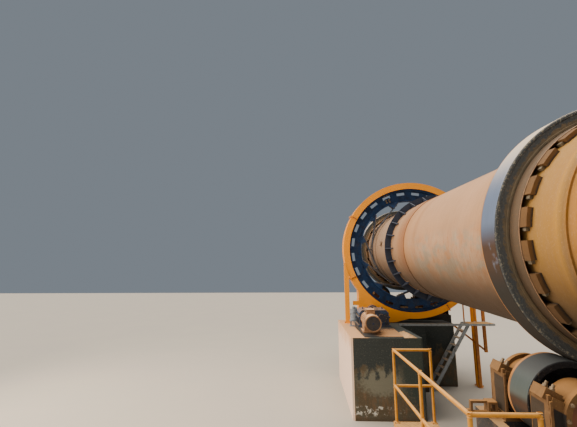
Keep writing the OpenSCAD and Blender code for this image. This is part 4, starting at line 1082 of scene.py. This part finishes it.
    def fit_coupling(self, sizes):
        """Bolts of the coupling and of the pinion bearings"""
        bolts = bmesh.new()
        c0, c1 = reach("pinion_shaft", PINION, 0.17)[:2]
        for s, outward in ((c0, -AXIS), (c1, AXIS)):
            bolt_circle(bolts, at_drum(s, PINION.x, PINION_DROP), outward, 0.165, 10, sizes.cover_bolt * 0.7)
        piece("coupling_bolts", bolts, zinc_fastener, "pinion_set")
        feet = bmesh.new()
        b0, b1 = reach("pinion_bearings", PINION)[:2]
        half_length, foot_reach, cap_reach = 0.075, 0.208, 0.19
        foot_drop, cap_drop = PINION_DROP + 0.1747, PINION_DROP - 0.035
        for middle in (b0 + half_length, b1 - half_length):
            for side in (-1, 1):
                spots = [at_drum(middle + ds, PINION.x + side * foot_reach, foot_drop)
                         for ds in (-0.045, 0.045)]
                spots.append(at_drum(middle, PINION.x + side * cap_reach, cap_drop))
                bolts_at(feet, spots, -DOWN, sizes.cover_bolt)
        bolt_circle(feet, at_drum(b1, PINION.x, PINION_DROP), AXIS, 0.135, 8, sizes.cover_bolt * 0.7)
        piece("pinion_bearing_bolts", feet, zinc_fastener, "plant")


# Guard

class KILN_OT_guard(bpy.types.Operator):
    """Finish the gear guard, with its joint bolts, straps, seals, rolled edges and shaft hole covers"""
    bl_idname = "kiln.guard"
    bl_label = "Gear guard"

    def execute(self, context):
        sizes = context.scene.kiln_sizes
        dress(guard_enamel, "guard_top", "guard_left", "guard_right", "guard_bottom", "guard_legs")
        s0, s1 = GUARD_S0 + 0.025, GUARD_S1 - 0.025
        inner_r = reach("guard_right", beyond=0.5)[2]
        bolts, straps, edges = bmesh.new(), bmesh.new(), bmesh.new()
        rim_end, beside, rolled_r = 0.03, 0.012, 0.007
        for degrees in (-30, -150, -205, -300):
            outward = spoke(math.radians(degrees))
            tangent = AXIS.cross(outward)
            for side in (-1, 1):
                lip = outward * (GUARD_R + 0.024) + tangent * side * beside
                rim_bolts = [at_drum(s0 + rim_end + (s1 - s0 - 2 * rim_end) * i / 4) + lip for i in range(5)]
                bolts_at(bolts, rim_bolts, tangent * side, sizes.sheet_bolt)
                face_bolts = [at_drum(s0 - 0.0125) + outward * r + tangent * side * beside
                              for r in (GUARD_R - 0.16, GUARD_R - 0.08)]
                bolts_at(bolts, face_bolts, tangent * side, sizes.sheet_bolt * 0.6)
            strap = at_drum(s0 - 0.0005) + outward * (inner_r + 0.036)
            block(straps, facing(strap, -AXIS, outward), (0.05, 0.03, 0.004))
            seal = at_drum(s0 - 0.0255) + outward * (GUARD_R - 0.1)
            block(straps, facing(seal, -AXIS, outward), (0.15, 0.014, 0.001))
        piece("guard_joint_bolts", bolts, zinc_fastener, "plant")
        piece("guard_joint_straps", straps, dark_ring_paint, "plant")
        for s in (s0 + 0.005, s1 - 0.005):
            revolve(edges, at_drum(s), AXIS, round_section(inner_r, rolled_r, 8), 180)
        piece("guard_rolled_edges", edges, guard_enamel, "plant")
        covers, screws = bmesh.new(), bmesh.new()
        hole_r, cover_r, thick = 0.092, 0.19, 0.006
        outline = [(hole_r, 0.0003), (cover_r, 0.0003), (cover_r, thick), (hole_r, thick)]
        for s, outward in ((s0, -AXIS), (s1, AXIS)):
            hole = at_drum(s, PINION.x, PINION_DROP)
            revolve(covers, hole, outward, outline, 48)
            bolt_circle(screws, hole + outward * thick, outward, cover_r - 0.02, 8, sizes.sheet_bolt * 0.6)
        piece("pinion_hole_covers", covers, guard_enamel, "plant")
        leg_y, foot_thick, left_leg, right_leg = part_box("guard_legs")[0].y, 0.02, -2.11, 1.79
        for x, level in ((left_leg, PIER_TOP), (right_leg, 0.0)):
            for dx in (-0.085, 0.085):
                for dy in (0.015, 0.165):
                    spot = Vector((x + dx, leg_y + dy, level + foot_thick))
                    bolt(screws, Matrix.Translation(spot), sizes.sheet_bolt)
        piece("guard_screws", screws, zinc_fastener, "plant")
        return {"FINISHED"}


# Platforms

class KILN_OT_platforms(bpy.types.Operator):
    """Finish the near platform, the walkway and its ladder, with tread plates, foot plates and welds"""
    bl_idname = "kiln.platforms"
    bl_label = "Platforms"

    def execute(self, context):
        dress(rail_enamel, "platform_railing", "platform_deck")
        dress(walkway_paint, "walkway")
        dress(grey_walkway, "walkway_ladder")
        low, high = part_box("platform_deck")
        sheet, margin = 0.0015, 0.006
        plate = bmesh.new()
        place = Matrix.Translation(((low.x + high.x) / 2, (low.y + high.y) / 2, high.z))
        block(plate, place, (high.x - low.x - 2 * margin, high.y - low.y - 2 * margin, sheet))
        piece("platform_tread_plate", plate, tread_plate, "plant")
        feet, screws = bmesh.new(), bmesh.new()
        rail_r, foot_plate, foot_width, bolt_at = 0.021, 0.008, 0.082, 0.03
        fillet = [(0.0205, -0.004), (0.026, 0), (0.0205, 0.004)]
        rail_low, rail_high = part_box("platform_railing")
        x0, x1 = rail_low.x + rail_r, rail_high.x - rail_r
        y0, y1 = rail_low.y + rail_r, rail_high.y - rail_r
        for x, y in ((x0, y0), (x0, (y0 + y1) / 2), (x0, y1), (x1, y0), (x1, y1)):
            foot = Matrix.Translation((x, y, high.z + sheet))
            block(feet, foot, (foot_width, foot_width, foot_plate))
            disc(feet, foot @ Matrix.Translation((0, 0, foot_plate)), 0.03, 0.012, 20, 0.0215)
            for dx in (-bolt_at, bolt_at):
                for dy in (-bolt_at, bolt_at):
                    bolt(screws, foot @ Matrix.Translation((dx, dy, foot_plate)), 0.013)
            for rail_height in (0.54, 1.08):
                for k in (-1, 1):
                    joint = Vector((x, y, high.z + rail_height + k * rail_r))
                    revolve(feet, joint, UP, fillet, 16)
        piece("railing_foot_plates", feet, rail_enamel, "plant")
        piece("railing_foot_bolts", screws, zinc_fastener, "plant")
        walk, deck_middle, deck_size = bmesh.new(), Vector((1.75, 7.786, PIER_TOP + 0.0603)), (0.70, 0.55)
        block(walk, Matrix.Translation(deck_middle), (*deck_size, sheet))
        piece("walkway_tread_plate", walk, tread_plate, "plant")
        return {"FINISHED"}


class KILN_OT_piers(bpy.types.Operator):
    """Finish the concrete piers, with the dust that has fallen on them"""
    bl_idname = "kiln.piers"
    bl_label = "Piers"

    def execute(self, context):
        dress(cast_concrete, "near_pier", "far_pier", "drive_pier")
        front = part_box("drive_pier")[0].y
        heap, rng = bmesh.new(), random.Random(5)
        x0, x1, y0, y1 = -1.07, -0.78, front + 0.02, front + 0.85
        nx, ny, depth = 10, 24, 0.05
        grid = []
        for i in range(nx + 1):
            row = []
            for j in range(ny + 1):
                u, v = i / nx, j / ny
                inside = min(1.0, max(0.0, 2 * min(u, 1 - u, 4 * v, 4 * (1 - v))))
                lift = depth * inside * (0.6 + 0.8 * rng.random())
                spot = (x0 + (x1 - x0) * u, y0 + (y1 - y0) * v, PIER_TOP + 0.0005 + lift)
                row.append(heap.verts.new(spot))
            grid.append(row)
        for i in range(nx):
            for j in range(ny):
                heap.faces.new((grid[i][j], grid[i + 1][j], grid[i + 1][j + 1], grid[i][j + 1]))
        piece("dust_on_drive_pier", heap, loose_dust, "plant")
        return {"FINISHED"}


# Stage

class KILN_OT_stage(bpy.types.Operator):
    """Add the floor, the lights and the camera"""
    bl_idname = "kiln.stage"
    bl_label = "Stage"

    def execute(self, context):
        stage = context.scene.kiln_stage
        floor = bmesh.new()
        bmesh.ops.create_grid(floor, x_segments=1, y_segments=1, size=stage.floor_size / 2)
        mesh = bpy.data.meshes.new("floor")
        floor.to_mesh(mesh)
        floor.free()
        material, tree, place = start("pale_studio_floor")
        worn = blots(tree, place, 2500, 0.4, 0.7, 0.15)
        colour = layers(tree, (*stage.floor_colour, 1.0), [(worn, "#B7AC9C")])
        mesh.materials.append(surface(material, colour, 0.9))
        ground = bpy.data.objects.new("floor", mesh)
        context.scene.collection.objects.link(ground)
        world = bpy.data.worlds.new("even_light")
        context.scene.world = world
        world.use_nodes = True
        background = world.node_tree.nodes["Background"]
        background.inputs["Color"].default_value = linear("#C9D6E4")
        background.inputs["Strength"].default_value = stage.sky
        roof = self.add_light(
            "roof_light", "SUN", (-4.0, 5.0, 18.0), (0.0, 5.0, 3.0), stage.roof_light, "#FFF2E0")
        roof.angle = math.radians(92)
        side = self.add_light(
            "side_light", "AREA", (-13.0, 3.5, 6.0), (0.0, 4.0, 2.5), stage.side_light, "#FFE6C8")
        side.shape = "RECTANGLE"
        side.size, side.size_y = 6.0, 10.0
        data = bpy.data.cameras.new("photo_view")
        data.sensor_width = 36.0
        data.lens = stage.lens
        data.clip_end = 300.0
        camera = bpy.data.objects.new("photo_view", data)
        spot, pitch, yaw, roll = Vector((-3.347, -4.085, 3.260)), 0.1711, 0.0513, -0.0049
        forward = Vector((-math.sin(yaw) * math.cos(pitch), math.cos(yaw) * math.cos(pitch), math.sin(pitch)))
        level = Vector((math.cos(yaw), math.sin(yaw), 0))
        lifted = level.cross(forward)
        right = level * math.cos(roll) + lifted * math.sin(roll)
        up = lifted * math.cos(roll) - level * math.sin(roll)
        turn = Matrix((right, up, -forward)).transposed().to_4x4()
        camera.matrix_world = Matrix.Translation(spot) @ turn
        context.scene.collection.objects.link(camera)
        context.scene.camera = camera
        return {"FINISHED"}

    def add_light(self, name, kind, spot, aim, power, code):
        """A light that looks from a spot to its aim"""
        data = bpy.data.lights.new(name, kind)
        data.energy = power
        data.color = linear(code)[:3]
        lamp = bpy.data.objects.new(name, data)
        lamp.matrix_world = facing(Vector(spot), Vector(spot) - Vector(aim), RIGHT)
        lamp.visible_camera = False
        bpy.context.scene.collection.objects.link(lamp)
        return data


class KILN_PT_parts(bpy.types.Panel):
    """Lists the parts of the kiln that can be dressed"""
    bl_idname = "KILN_PT_parts"
    bl_label = "Rotary kiln"
    bl_space_type = "VIEW_3D"
    bl_region_type = "UI"
    bl_category = "Kiln"

    def draw(self, context):
        for operator in OPERATORS:
            self.layout.operator(operator.bl_idname)
        for group in (context.scene.kiln_sizes, context.scene.kiln_paints, context.scene.kiln_stage):
            for name in group.__annotations__:
                self.layout.prop(group, name)


OPERATORS = (KILN_OT_shell, KILN_OT_tyres, KILN_OT_gusset_ring, KILN_OT_girth_gear, KILN_OT_rollers,
             KILN_OT_bearings, KILN_OT_base_frames, KILN_OT_drive, KILN_OT_guard, KILN_OT_platforms,
             KILN_OT_piers, KILN_OT_stage)
CLASSES = (KilnSizes, KilnPaints, KilnStage) + OPERATORS + (KILN_PT_parts,)


def register():
    for cls in CLASSES:
        bpy.utils.register_class(cls)
    bpy.types.Scene.kiln_sizes = bpy.props.PointerProperty(type=KilnSizes)
    bpy.types.Scene.kiln_paints = bpy.props.PointerProperty(type=KilnPaints)
    bpy.types.Scene.kiln_stage = bpy.props.PointerProperty(type=KilnStage)


def unregister():
    del bpy.types.Scene.kiln_sizes
    del bpy.types.Scene.kiln_paints
    del bpy.types.Scene.kiln_stage
    for cls in reversed(CLASSES):
        bpy.utils.unregister_class(cls)


def main():
    register()
    for operator in OPERATORS:
        getattr(bpy.ops.kiln, operator.bl_idname.split(".")[1])()


if __name__ == "__main__":
    main()
